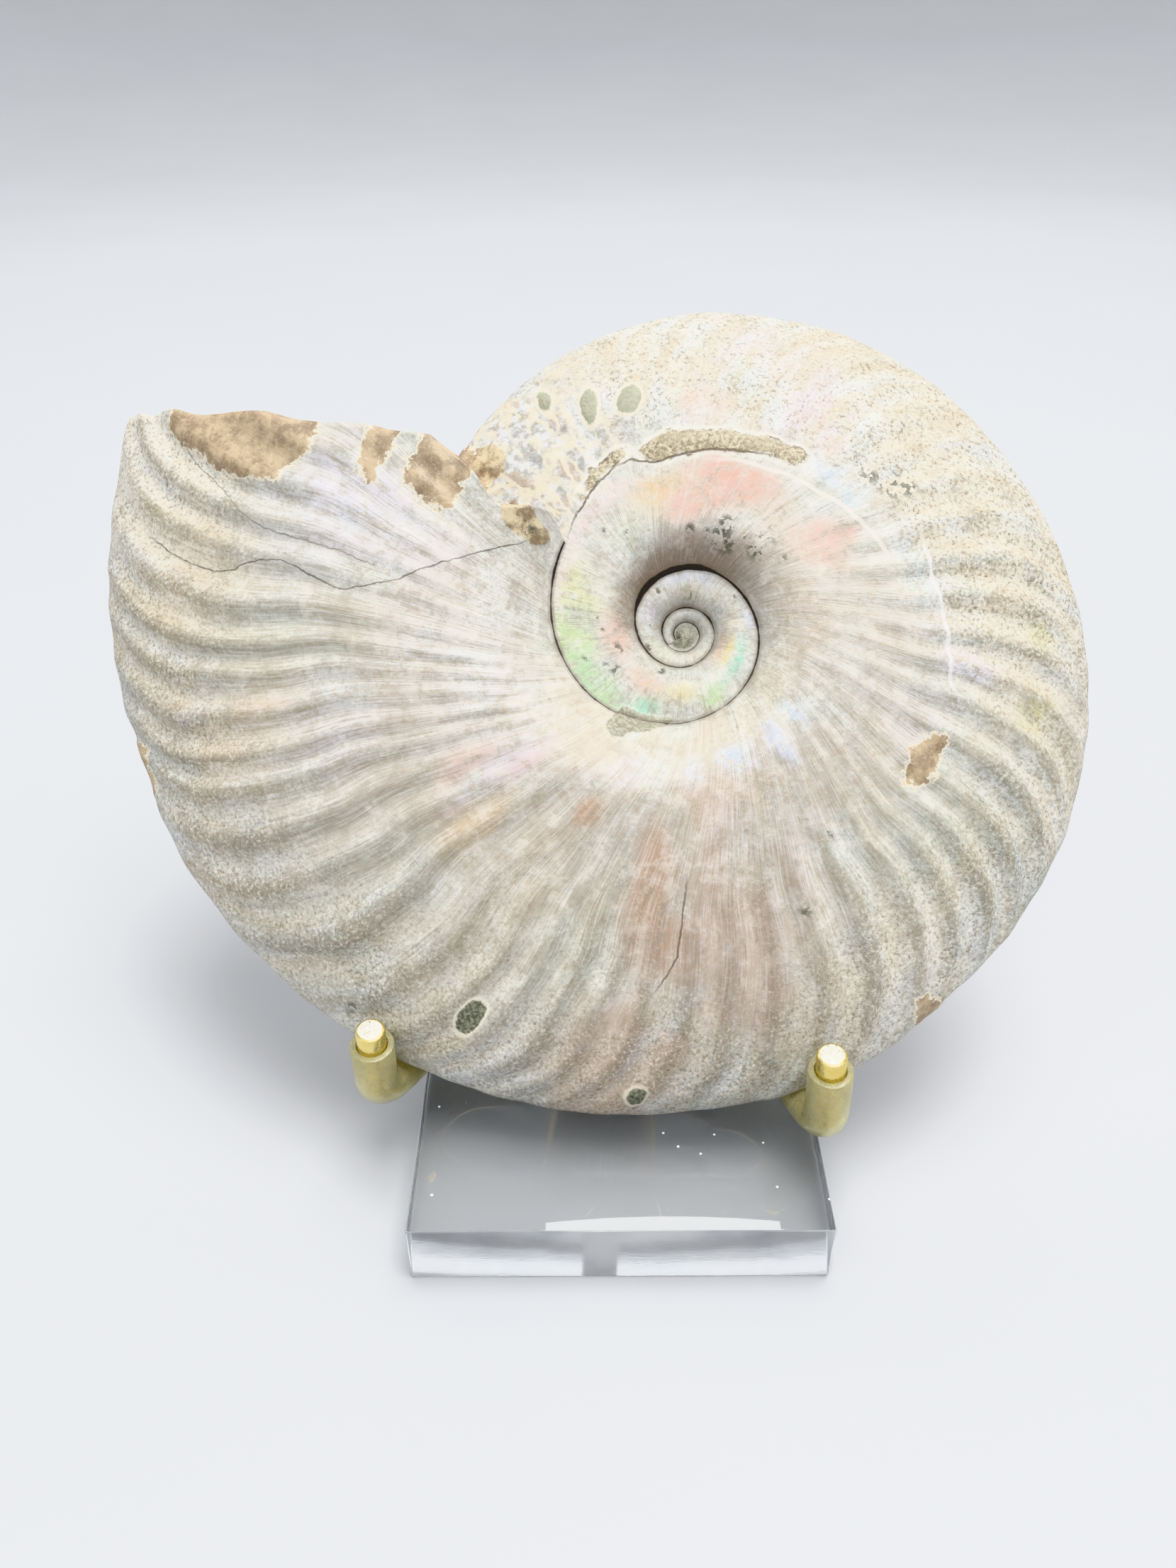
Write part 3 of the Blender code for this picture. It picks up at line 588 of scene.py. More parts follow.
# Play of colour, in the same way
GLOWS = (
    (60, 0.26, 30, 0.12, 0.9, (242, 196, 174)), (44, 0.28, 14, 0.08, 1.0, (246, 208, 156)),
    (74, 0.29, 18, 0.09, 1.0, (244, 182, 160)), (57, 0.22, 12, 0.06, 0.9, (244, 186, 166)),
    (98, 0.25, 14, 0.09, 0.7, (222, 196, 176)), (113, 0.28, 12, 0.10, 0.9, (244, 196, 176)),
    (116, 0.36, 5, 0.06, 0.9, (244, 190, 176)), (66, 0.84, 9, 0.14, 0.8, (232, 214, 218)),
    (62, 0.60, 10, 0.12, 0.8, (240, 212, 196)), (74, 0.72, 8, 0.16, 0.7, (232, 220, 216)),
    (83, 0.64, 7, 0.18, 0.9, (232, 212, 222)), (93, 0.56, 6, 0.07, 0.8, (236, 208, 202)),
    (97, 0.70, 6, 0.14, 0.7, (214, 220, 226)), (98, 0.455, 8, 0.06, 1.0, (200, 212, 228)),
    (107, 0.45, 5.5, 0.06, 0.9, (188, 208, 222)), (125, 0.49, 8, 0.06, 0.9, (210, 218, 222)),
    (140, 0.49, 9, 0.06, 0.8, (204, 214, 218)), (154, 0.60, 4, 0.12, 1.0, (226, 220, 236)),
    (168, 0.46, 10, 0.14, 0.7, (212, 212, 218)), (160, 0.30, 16, 0.12, 0.5, (212, 208, 202)),
    (186, 0.15, 5, 0.07, 1.0, (186, 206, 236)), (198, 0.17, 5, 0.09, 1.0, (194, 210, 236)),
    (210, 0.15, 5, 0.06, 0.8, (208, 212, 226)), (217, 0.136, 7, 0.05, 1.0, (190, 208, 230)),
    (232, 0.137, 6, 0.05, 0.8, (206, 216, 230)), (222, 0.30, 8, 0.12, 0.6, (206, 204, 212)),
    (205, 0.42, 10, 0.16, 0.5, (204, 208, 216)), (255, 0.13, 8, 0.06, 0.8, (214, 214, 228)),
    (284, 0.22, 5, 0.11, 0.9, (240, 214, 222)), (291, 0.28, 3.5, 0.13, 0.9, (226, 196, 188)),
    (286, 0.30, 3, 0.12, 0.8, (214, 208, 220)), (300, 0.16, 16, 0.09, 0.7, (218, 216, 220)),
    (318, 0.22, 10, 0.12, 0.6, (222, 222, 220)), (345, 0.40, 8, 0.14, 0.8, (218, 218, 236)),
    (338, 0.28, 8, 0.10, 0.6, (230, 222, 226)), (330, 0.13, 12, 0.06, 0.6, (230, 226, 222)),
    (308, 0.50, 8, 0.14, 0.6, (196, 196, 208)), (-18, 0.26, 16, 0.16, 1.0, (214, 218, 160)),
    (-40, 0.30, 20, 0.14, 1.0, (190, 212, 150)), (-68, 0.29, 20, 0.12, 1.0, (176, 212, 160)),
    (-100, 0.24, 14, 0.07, 1.0, (150, 216, 186)), (-46, 0.09, 24, 0.08, 1.0, (232, 192, 176)),
    (-90, 0.13, 26, 0.08, 1.0, (240, 200, 172)), (-122, 0.15, 22, 0.10, 1.0, (234, 218, 156)),
    (-150, 0.20, 20, 0.09, 1.0, (178, 210, 152)), (-185, 0.17, 34, 0.055, 1.0, (144, 218, 190)),
    (-190, 0.10, 34, 0.04, 1.0, (240, 220, 140)), (-190, 0.05, 34, 0.035, 0.9, (240, 196, 162)),
    (-228, 0.24, 18, 0.07, 0.9, (202, 206, 234)), (-228, 0.12, 18, 0.08, 0.9, (226, 206, 176)),
    (-262, 0.16, 16, 0.12, 0.8, (210, 200, 180)), (-300, 0.22, 34, 0.10, 0.9, (198, 206, 222)),
    (-300, 0.10, 30, 0.07, 0.8, (206, 196, 168)), (-368, 0.14, 24, 0.12, 0.9, (208, 200, 230)),
    (-430, 0.15, 50, 0.2, 0.8, (212, 216, 190)), (-500, 0.15, 50, 0.2, 0.7, (222, 212, 184)),
    (3, 0.35, 34, 0.05, 0.8, (234, 210, 206)), (22, 0.20, 18, 0.10, 0.7, (204, 208, 180)),
    (-5, 0.15, 16, 0.10, 0.8, (206, 204, 190)),
)
BACK_SHIFT = 47
BACK_GLOW = 0.75
# Growth angles of the ground colours that are rusty
RUSTY_GROUNDS = (243, 262, 225)
# How deep the marks lie below the skin, and between which distances inside their edge they get there
MARK_DEPTHS = {
    "strip": (0.00045, -0.3, 0.5), "oval": (0.00032, -0.3, 0.4), "amber": (0.00030, -0.3, 0.4),
    "chip": (0.00050, -0.3, 0.5),
}


def coil_place(angle, place):
    """Where a growth angle in degrees and a place on the flank lie in the coil plane, in millimetres."""
    growth = np.radians(np.asarray(angle, float))
    seam = seam_radius(growth)
    radius = (seam + (venter_radius(growth) - seam) * np.asarray(place)) * 1000
    return np.stack([radius * np.cos(NOTCH_ANGLE - growth), radius * np.sin(NOTCH_ANGLE - growth)], axis=-1)


def path_distance(flat, path, taper=4.0):
    """Signed millimetres from an open path, and how much the path counts: 1, fading at both ends."""
    best = np.full(len(flat), 1e9)
    signed = np.zeros(len(flat))
    along = np.zeros(len(flat))
    corners = coil_place(*np.array(path).T)
    lengths = np.linalg.norm(np.diff(corners, axis=0), axis=1)
    whole = lengths.sum()
    travelled = 0
    for first, second, length in zip(corners, corners[1:], lengths):
        ahead = (second - first) / length
        offset = flat - first
        reach = np.clip(offset @ ahead, 0, length)
        gap = offset - reach[:, None] * ahead
        distance = np.hypot(gap[:, 0], gap[:, 1])
        nearer = distance < best
        best = np.where(nearer, distance, best)
        side = np.sign(ahead[0] * offset[:, 1] - ahead[1] * offset[:, 0])
        signed = np.where(nearer, distance * side, signed)
        along = np.where(nearer, travelled + reach, along)
        travelled += length
    fade = np.clip(np.minimum(along, whole - along) / taper, 0, 1)
    return np.clip(signed, -MARK_REACH, MARK_REACH), fade * (best < MARK_REACH)


def patch_distance(flat, outline):
    """Signed distance from a closed outline in millimetres, negative inside."""
    corners = coil_place(*np.array(outline).T)
    best = np.full(len(flat), 1e9)
    inside = np.zeros(len(flat), bool)
    for first, second in zip(corners, np.roll(corners, -1, axis=0)):
        edge = second - first
        offset = flat - first
        reach = np.clip(offset @ edge / (edge @ edge), 0, 1)
        gap = offset - reach[:, None] * edge
        best = np.minimum(best, np.hypot(gap[:, 0], gap[:, 1]))
        crossing = (first[1] > flat[:, 1]) != (second[1] > flat[:, 1])
        rise = edge[1] if edge[1] else 1e-9
        inside ^= crossing & (flat[:, 0] < first[0] + edge[0] * (flat[:, 1] - first[1]) / rise)
    return np.clip(np.where(inside, -best, best), -MARK_REACH, MARK_REACH)


def oval_distance(flat, angle, place, half_width, half_length, turn):
    offset = flat - coil_place(angle, place)
    lean = radians(turn)
    across = offset[:, 0] * cos(lean) - offset[:, 1] * sin(lean)
    along = offset[:, 0] * sin(lean) + offset[:, 1] * cos(lean)
    distance = (np.hypot(across / half_width, along / half_length) - 1) * half_width
    return np.clip(distance, -MARK_REACH, MARK_REACH)


def paint(red, green, blue):
    """Linear colour from one given on a screen's scale of 0 to 255."""
    screen = np.array([red, green, blue]) / 255
    return np.where(screen <= 0.04045, screen / 12.92, ((screen + 0.055) / 1.055) ** 2.4)


def mix_zones(zones, base, angles, places, wobble, strength=1.0):
    """Colours from soft zones laid over a base colour, and how much any zone counts."""
    colours = np.broadcast_to(base, (len(angles), 3)).astype(float)
    cover = np.zeros(len(angles))
    for angle, place, reach, spread, share, colour in zones:
        away = np.hypot((angles - angle) / reach, (places - place) / spread) + wobble
        mask = strength * share * ramp(-away, -1.35, -0.35)
        colours += (paint(*colour) - colours) * mask[:, None]
        cover = np.maximum(cover, mask)
    return colours, cover


class Marks:
    """Everything that the shell's colour and relief follow, one value for each point."""

    def __init__(self, surface):
        points = surface.points
        self.flat = points[:, :2] * 1000
        self.angle = np.degrees(surface.growth)
        self.place = surface.place
        self.front = (surface.side >= 0) * (surface.part != MOUTH)
        self.skin = (surface.part == SKIN).astype(float)
        self.rough = soft_noise(points, 0.003, 5)
        self.broad = soft_noise(points, 0.014, 7)
        self.middle = soft_noise(points, 0.006, 9)

        self.oval = self.nearest(oval_distance(self.flat, *oval) for oval in OVALS)
        self.amber = self.patches(*AMBER_PATCHES)
        self.strip = self.patches(*OLD_SEAM_STRIPS)
        self.chip = self.patches(GREY_CHIP)
        self.block = self.patches(BROKEN_BLOCK, BROWN_PATCH)
        self.cracks = [path_distance(self.flat, path) for path in CRACKS]
        self.traces = [path_distance(self.flat, path, 8.0) for path in TRACES]
        self.matrix = ramp(-self.angle + 6 * self.broad, -42, -20)
        self.matrix *= ramp(self.place + 0.03 * self.rough, 0.38, 0.44)
        self.matrix *= (self.angle >= 0) * self.front
        self.specks = np.zeros(len(points))
        for angle, place, reach in SPECKS:
            away = np.linalg.norm(self.flat - coil_place(angle, place), axis=1) / reach
            self.specks = np.maximum(self.specks, ramp(-away, -1.3, -0.5) * self.front)
        self.find_seam(surface)
        self.colour(surface)

    def nearest(self, distances):
        made = np.min(list(distances), axis=0) + 0.35 * self.rough
        return np.where(self.front, made, MARK_REACH)

    def patches(self, *outlines):
        return self.nearest(patch_distance(self.flat, outline) for outline in outlines)

    def find_seam(self, surface):
        """Distance in millimetres from the line where one whorl meets the next."""
        radius = np.hypot(surface.points[:, 0], surface.points[:, 1])
        own = radius - seam_radius(surface.growth)
        over = np.where(surface.growth <= 1e-6, abs(seam_radius(surface.growth + TURN) - radius), 1)
        self.seam = np.clip(np.minimum(own, over) * 1000, 0, MARK_REACH)
        self.seam = np.where(surface.part == SKIN, self.seam, MARK_REACH)
        nearest = np.where(own <= over, self.angle, self.angle + 360)
        deep = ramp(nearest, -20, 15) * ramp(-nearest, -95, -60)
        closed = ramp(nearest, 170, 200) * ramp(-nearest, -285, -270)
        early = ramp(-nearest, 60, 160)
        # Width of the dark line along the seam, painted shade in the crevice: widest under the top of the
        # last whorl, where the crevice is deepest
        width = 0.20 + 0.52 * deep + 0.12 * self.middle
        self.seam_width = width * (1 - closed) * (1 - early)
        self.seam_width += 0.10 * closed
        self.seam_width += (0.08 + 0.12 * self.middle) * early

    def colour(self, surface):
        wobble = 0.28 * self.middle + 0.22 * self.broad
        base = blend(paint(202, 199, 190), paint(186, 187, 178), ramp(self.broad, -0.5, 0.5)[:, None])
        angles = np.where(self.front, self.angle, self.angle + BACK_SHIFT)
        self.ground, _ = mix_zones(GROUNDS, base, angles, self.place, wobble)
        glow_base = blend(paint(226, 208, 200), paint(202, 212, 214), ramp(self.middle, -0.4, 0.4)[:, None])
        shares = np.where(self.front, 1, BACK_GLOW)
        self.glow, self.glow_share = mix_zones(GLOWS, glow_base, angles, self.place, wobble)
        faint = 0.25 * ramp(-self.place, -0.5, -0.1)
        self.glow_share = np.maximum(self.glow_share, faint) * shares * self.skin
        # Painted shade: a brown band on the umbilical wall beside the seam, strongest under the top of the
        # last whorl and fainter on the inner whorls
        wall = ramp(-self.place - 0.02 * self.middle, -0.125, -0.01)
        self.shade = wall * ramp(self.angle, -70, 15) * ramp(-self.angle, -150, -75)
        inner_shade = 0.45 * wall * ramp(self.angle, -420, -330) * ramp(-self.angle, 220, 290)
        self.shade = np.maximum(self.shade, inner_shade)
        outer = ramp(self.place, 0.40, 0.62) * ramp(-self.angle, -175, -140)
        late = ramp(self.place + 0.1 * self.broad, 0.55, 0.85) * ramp(self.angle, 130, 180)
        self.grain = np.clip(0.25 + 0.75 * np.maximum(outer, 0.8 * late) + 0.2 * self.middle, 0, 1)
        self.rust = np.zeros(len(self.angle))
        for angle, place, reach, spread, share, _ in GROUNDS:
            if angle in RUSTY_GROUNDS:
                away = np.hypot((self.angle - angle) / reach, (self.place - place) / spread) + wobble
                self.rust = np.maximum(self.rust, share * ramp(-away, -1.2, -0.4))

    def relief(self, surface, column):
        """How far each point stands out from the even coil."""
        wave = rib_wave(column, surface.growth) * self.skin
        uneven = 0.85 + 0.35 * self.broad
        height = RIB_HEIGHT * wave * uneven * rib_relief(surface.growth, surface.place)
        height += self.skin * (0.00022 * self.broad + 0.00014 * self.middle + 0.00005 * self.rough)
        for name, (depth, outside, inside) in MARK_DEPTHS.items():
            height -= depth * ramp(-getattr(self, name), outside, inside)
        height += 0.00050 * (self.rough - 0.6) * ramp(-self.block, -0.5, 0.8)
        height += 0.00022 * self.matrix * (self.rough + 0.6 * self.middle)
        height -= 0.00045 * ramp(-self.seam, -0.9, 0) * np.clip(self.seam_width, 0, 1)
        return height, wave


def vertex_normals(points, faces):
    mesh = bpy.data.meshes.new("scratch")
    mesh.from_pydata(points.tolist(), [], faces)
    normals = np.empty(len(points) * 3, np.float32)
    mesh.vertex_normals.foreach_get("vector", normals)
    bpy.data.meshes.remove(mesh)
    return normals.reshape(-1, 3).astype(float)


def add_attribute(mesh, name, values):
    kind = "FLOAT" if values.ndim == 1 else "FLOAT_VECTOR"
    made = mesh.attributes.new(name, kind, "POINT")
    made.data.foreach_set("value" if values.ndim == 1 else "vector", values.astype(np.float32).reshape(-1))


def drop_slivers(mesh):
    """Takes out faces and edges with next to no size."""
    shape = bmesh.new()
    shape.from_mesh(mesh)
    bmesh.ops.remove_doubles(shape, verts=shape.verts[:], dist=SLIVER)
    bmesh.ops.dissolve_degenerate(shape, edges=shape.edges[:], dist=SLIVER)
    shape.to_mesh(mesh)
    shape.free()


def add_ammonite(material):
    shell = Shell()
    shell.build()
    surface = Surface(shell)
    marks = Marks(surface)
    normals = vertex_normals(surface.points, surface.faces)
    column = rib_column(surface.growth, surface.place)
    column = column + radians(0.7) * marks.broad * ramp(surface.growth, 0, 0.5)
    height, wave = marks.relief(surface, column)
    points = surface.points + normals * height[:, None]
    points[:, 2] = np.where(surface.side == 0, 0, points[:, 2])
    mesh = bpy.data.meshes.new("ammonite_shell")
    mesh.from_pydata(points.tolist(), [], surface.faces)
    turned = Matrix.Rotation(SHELL_YAW, 4, "Z") @ Matrix.Rotation(pi / 2 - SHELL_LEAN, 4, "X")
    mesh.transform(Matrix.Translation(SHELL_CENTRE) @ turned)
    shape = bmesh.new()
    shape.from_mesh(mesh)
    bmesh.ops.recalc_face_normals(shape, faces=shape.faces[:])
    shape.to_mesh(mesh)
    shape.free()
    side = np.where(surface.side < 0, 40.0, 0.0)
    add_attribute(mesh, "lines", np.stack([np.degrees(column), surface.place * 60, side], axis=1))
    add_attribute(mesh, "wave", wave * rib_relief(surface.growth, surface.place))
    for name in ("ground", "glow", "glow_share", "grain", "rust", "amber", "oval", "strip", "chip", "block",
                 "matrix", "specks", "shade"):
        add_attribute(mesh, name, getattr(marks, name))
    add_attribute(mesh, "seam", marks.seam - marks.seam_width)
    add_attribute(mesh, "inside", (surface.part == MOUTH).astype(float))
    add_attribute(mesh, "bead", (surface.part == CORE).astype(float))
    for name, paths in (("crack", marks.cracks), ("trace", marks.traces)):
        add_attribute(mesh, name, np.stack([signed for signed, _ in paths], axis=1))
        shown = [share * marks.front for _, share in paths]
        add_attribute(mesh, f"{name}_share", np.stack(shown, axis=1))
    drop_slivers(mesh)
    mesh.materials.append(material)
    mesh.shade_smooth()
    made = bpy.data.objects.new("ammonite_shell", mesh)
    bpy.context.scene.collection.objects.link(made)
    return made


# Rods, tubes and turned shapes

def add_object(name, shape, material):
    bmesh.ops.recalc_face_normals(shape, faces=shape.faces[:])
    mesh = bpy.data.meshes.new(name)
    shape.to_mesh(mesh)
    shape.free()
    mesh.materials.append(material)
    mesh.shade_smooth()
    mesh.set_sharp_from_angle(angle=SMOOTH_ANGLE)
    made = bpy.data.objects.new(name, mesh)
    bpy.context.scene.collection.objects.link(made)
    return made


def rounded_path(corners, bends):
    """Points along straight runs between corners, with an arc of the given radius at each inner corner."""
    path = [corners[0]]
    for before, corner, after, bend in zip(corners, corners[1:], corners[2:], bends):
        back = (before - corner).normalized()
        ahead = (after - corner).normalized()
        half_angle = back.angle(ahead) / 2
        centre = corner + (back + ahead).normalized() * (bend / sin(half_angle))
        first = corner + back * (bend / tan(half_angle)) - centre
        last = corner + ahead * (bend / tan(half_angle)) - centre
        steps = ceil(first.angle(last) / BEND_STEP)
        path += [centre + first.slerp(last, step / steps).normalized() * bend for step in range(steps + 1)]
    path.append(corners[-1])
    return path


def cut_path(path, start, end):
    """The stretch of a path between two distances along it."""
    made = []
    travelled = 0
    for first, second in zip(path, path[1:]):
        length = (second - first).length
        for place in (start, end):
            if travelled < place <= travelled + length:
                made.append(first.lerp(second, (place - travelled) / length))
        travelled += length
        if start + NEAR_CUT < travelled < end - NEAR_CUT:
            made.append(second)
    return made


def rings_along(path, radii):
    """Rings of points square to a path, one radius for each path point."""
    first = next(after - before for before, after in zip(path, path[1:]) if (after - before).length)
    side = first.normalized().orthogonal().normalized()
    rings = []
    for index, centre in enumerate(path):
        before = path[index] - path[max(index - 1, 0)]
        after = path[min(index + 1, len(path) - 1)] - path[index]
        ahead = (before.normalized() + after.normalized()).normalized()
        side = (side - ahead * side.dot(ahead)).normalized()
        across = ahead.cross(side)
        ring = []
        for corner in range(ROD_SIDES):
            angle = TURN * corner / ROD_SIDES
            ring.append(centre + (side * cos(angle) + across * sin(angle)) * radii[index])
        rings.append(ring)
    return rings


def ease_ends(path, edge):
    """Adds points just inside both ends of a path, where a rounded edge starts."""
    made = [path[0]]
    for share in (EASE_SHARE, 1):
        made.append(path[0] + (path[1] - path[0]).normalized() * edge * share)
    made += path[1:-1]
    for share in (1, EASE_SHARE):
        made.append(path[-1] + (path[-2] - path[-1]).normalized() * edge * share)
    made.append(path[-1])
    return made


def add_tube(name, path, radius, material, edge, bore=0, cap_material=None):
    """A round rod along a path with rounded ends, or a tube where it has a bore."""
    path = ease_ends(path, edge)
    radii = [radius] * len(path)
    radii[0] = radii[-1] = radius - edge
    radii[1] = radii[-2] = radius - edge * EASE_SHARE
    rings = rings_along(path, radii)
    shape = bmesh.new()
    if bore:
        rings += rings_along(path, [bore] * len(path))[::-1]
    made = [[shape.verts.new(point) for point in ring] for ring in rings]
    if bore:
        made.append(made[0])
    for first, second in zip(made, made[1:]):
        for corner in range(ROD_SIDES):
            following = (corner + 1) % ROD_SIDES
            shape.faces.new((first[corner], first[following], second[following], second[corner]))
    if not bore:
        for ring in (made[0], made[-1]):
            shape.faces.new(ring)
    made = add_object(name, shape, material)
    if cap_material:
        made.data.materials.append(cap_material)
        for face in made.data.polygons:
            face.material_index = int(len(face.vertices) > 4)
    return made


def add_lathe(name, profile, place, material):
    """A solid turned about an upright axis, from (radius, height) points that start and end on the axis."""
    shape = bmesh.new()
    points = [shape.verts.new((radius, 0, height)) for radius, height in profile]
    edges = [shape.edges.new(pair) for pair in zip(points, points[1:])]
    bmesh.ops.spin(shape, geom=points + edges, axis=(0, 0, 1), cent=(0, 0, 0), angle=TURN, steps=ROUND_SIDES)
    bmesh.ops.remove_doubles(shape, verts=shape.verts[:], dist=1e-6)
    bmesh.ops.translate(shape, verts=shape.verts[:], vec=place)
    return add_object(name, shape, material)


def cut_with(body, cutters):
    """Takes the cutters' shapes out of the body for good."""
    for cutter in cutters:
        cut = body.modifiers.new("cut", "BOOLEAN")
        cut.operation = "DIFFERENCE"
        cut.solver = "EXACT"
        cut.object = cutter
    bpy.context.view_layer.update()
    solid = bpy.data.meshes.new_from_object(body.evaluated_get(bpy.context.evaluated_depsgraph_get()))
    body.modifiers.clear()
    body.data = solid
    drop_slivers(solid)
    solid.shade_smooth()
    solid.set_sharp_from_angle(angle=SMOOTH_ANGLE)
    for cutter in cutters:
        bpy.data.objects.remove(cutter, do_unlink=True)


# The stand

def add_foot(material):
    shape = bmesh.new()
    bmesh.ops.create_cube(shape, size=1)
    bmesh.ops.scale(shape, verts=shape.verts[:], vec=(FOOT_WIDTH, FOOT_DEPTH, FOOT_THICKNESS))
    middle = FOOT_PLACE + Vector((0, 0, FOOT_THICKNESS / 2))
    bmesh.ops.translate(shape, verts=shape.verts[:], vec=middle)
    bmesh.ops.bevel(shape, geom=shape.edges[:], offset=FOOT_EDGE, segments=3, profile=0.5, affect="EDGES")
    made = add_object("foot_block", shape, material)
    above = FOOT_THICKNESS + 0.001
    profile = (
        (0, -0.001), (COUNTERBORE_RADIUS, -0.001), (COUNTERBORE_RADIUS, COUNTERBORE_DEPTH),
        (SCREW_HOLE_RADIUS, COUNTERBORE_DEPTH), (SCREW_HOLE_RADIUS, above), (0, above),
    )
    cut_with(made, [add_lathe("foot_drill", profile, HUB_PLACE, material)])
    for material in (side_reflection_look(), drilled_look()):
        made.data.materials.append(material)
    for face in made.data.polygons:
        corners = [made.data.vertices[corner].co.xy for corner in face.vertices]
        if max((corner - HUB_PLACE.xy).length for corner in corners) < COUNTERBORE_RADIUS + 0.001:
            face.material_index = 2
        elif abs(face.normal.z) < 0.95:
            face.material_index = 1
    return made


def add_screw(material):
    top = COUNTERBORE_DEPTH - GAP
    bottom = top - SCREW_HEAD_HEIGHT
    end = ROD_HEIGHT - ROD_RADIUS - GAP
    profile = [
        (0, bottom + SCREW_SOCKET_DEPTH), (SCREW_SOCKET_RADIUS, bottom + SCREW_SOCKET_DEPTH),
        (SCREW_SOCKET_RADIUS, bottom), (SCREW_HEAD_RADIUS - SCREW_EDGE, bottom),
        (SCREW_HEAD_RADIUS, bottom + SCREW_EDGE), (SCREW_HEAD_RADIUS, top), (SCREW_SHANK_RADIUS, top),
    ]
    height = top + THREAD_START
    while height < end - THREAD_STOP:
        profile.append((SCREW_SHANK_RADIUS, height))
        profile.append((SCREW_SHANK_RADIUS - THREAD_DEPTH, height + THREAD_PITCH / 2))
        height += THREAD_PITCH
    profile += [(SCREW_SHANK_RADIUS - SCREW_END_EDGE, end), (0, end)]
    return add_lathe("screw", profile, HUB_PLACE, material)


def add_hub(across, backward, material):
    bottom = FOOT_THICKNESS + GAP
    top = bottom + HUB_HEIGHT
    profile = (
        (0, bottom), (HUB_RADIUS - HUB_LOWER_EDGE, bottom), (HUB_RADIUS, bottom + HUB_LOWER_EDGE),
        (HUB_RADIUS, top - HUB_EDGE), (HUB_RADIUS - HUB_EDGE * EASE_SHARE, top - HUB_EDGE * EASE_SHARE),
        (HUB_RADIUS - HUB_EDGE, top), (0, top),
    )
    made = add_lathe("hub_post", profile, HUB_PLACE, material)
    axis = HUB_PLACE + Vector((0, 0, ROD_HEIGHT))
    bore = ROD_RADIUS + GAP
    fork_hole = [axis - across * 2 * HUB_RADIUS, axis + across * 2 * HUB_RADIUS]
    rest_hole = [axis + backward * (HUB_RADIUS - HUB_BLIND_HOLE), axis + backward * 2 * HUB_RADIUS]
    screw_radius = SCREW_SHANK_RADIUS + GAP
    screw_hole = ((0, 0), (screw_radius, 0), (screw_radius, ROD_HEIGHT), (0, ROD_HEIGHT))
    cut_with(made, [
        add_tube("fork_drill", fork_hole, bore, material, DRILL_EDGE),
        add_tube("rest_drill", rest_hole, bore, material, DRILL_EDGE),
        add_lathe("screw_drill", screw_hole, HUB_PLACE, material),
    ])
    return made


def add_stand(brass, steel, acrylic, tubing):
    """All pieces of the stand, each with the node that it stands for."""
    yaw = Matrix.Rotation(STAND_YAW, 3, "Z")
    across = yaw @ Vector((1, 0, 0))
    backward = yaw @ Vector((0, 1, 0))
    axis = HUB_PLACE + Vector((0, 0, ROD_HEIGHT))
    middle = axis + across * FORK_SLIDE
    left_corner = middle - across * FORK_HALF_WIDTH
    right_corner = middle + across * FORK_HALF_WIDTH
    left_foot = left_corner - (across * sin(ARM_SPLAY) + backward * cos(ARM_SPLAY)) * LEFT_ARM_LENGTH
    right_foot = right_corner + (across * sin(ARM_SPLAY) - backward * cos(ARM_SPLAY)) * RIGHT_ARM_LENGTH
    fork_path = rounded_path(
        (left_foot + LEFT_PEG, left_foot, left_corner, right_corner, right_foot, right_foot + RIGHT_PEG),
        (PEG_BEND, CORNER_BEND, CORNER_BEND, PEG_BEND),
    )
    rest_start = axis + backward * (HUB_RADIUS - HUB_BLIND_HOLE + GAP)
    rest_corner = axis + backward * REST_REACH
    rest_tip = rest_corner + (backward * sin(REST_LEAN) + Vector((0, 0, cos(REST_LEAN)))) * REST_LENGTH
    rest_path = rounded_path((rest_tip, rest_corner, rest_start), (REST_BEND,))
    # Rod ends in near white, a painted reflection of the lamp on the sawn faces
    cut = cut_end_glare_look()
    pieces = [
        (add_foot(acrylic), "acrylic_foot", "acrylic"),
        (add_screw(steel), "foot_screw", "steel"),
        (add_hub(across, backward, brass), "hub", "brass"),
        (add_tube("fork_rod", fork_path, ROD_RADIUS, brass, ROD_EDGE, cap_material=cut), "fork", "brass"),
        (add_tube("back_rest_rod", rest_path, ROD_RADIUS, brass, ROD_EDGE, cap_material=cut),
         "back_rest", "brass"),
    ]
    peg_end = PEG_BARE_END + PEG_SLEEVE_LENGTH
    rest_end = REST_BARE_END + REST_SLEEVE_LENGTH
    sleeves = (
        ("left_sleeve", cut_path(fork_path, PEG_BARE_END, peg_end)),
        ("right_sleeve", cut_path(fork_path[::-1], PEG_BARE_END, peg_end)),
        ("back_sleeve", cut_path(rest_path, REST_BARE_END, rest_end)),
    )
    for name, path in sleeves:
        made = add_tube(f"{name}_tube", path, SLEEVE_RADIUS, tubing, SLEEVE_EDGE, bore=ROD_RADIUS + GAP)
        pieces.append((made, name, "tubing"))
    return pieces


# Materials

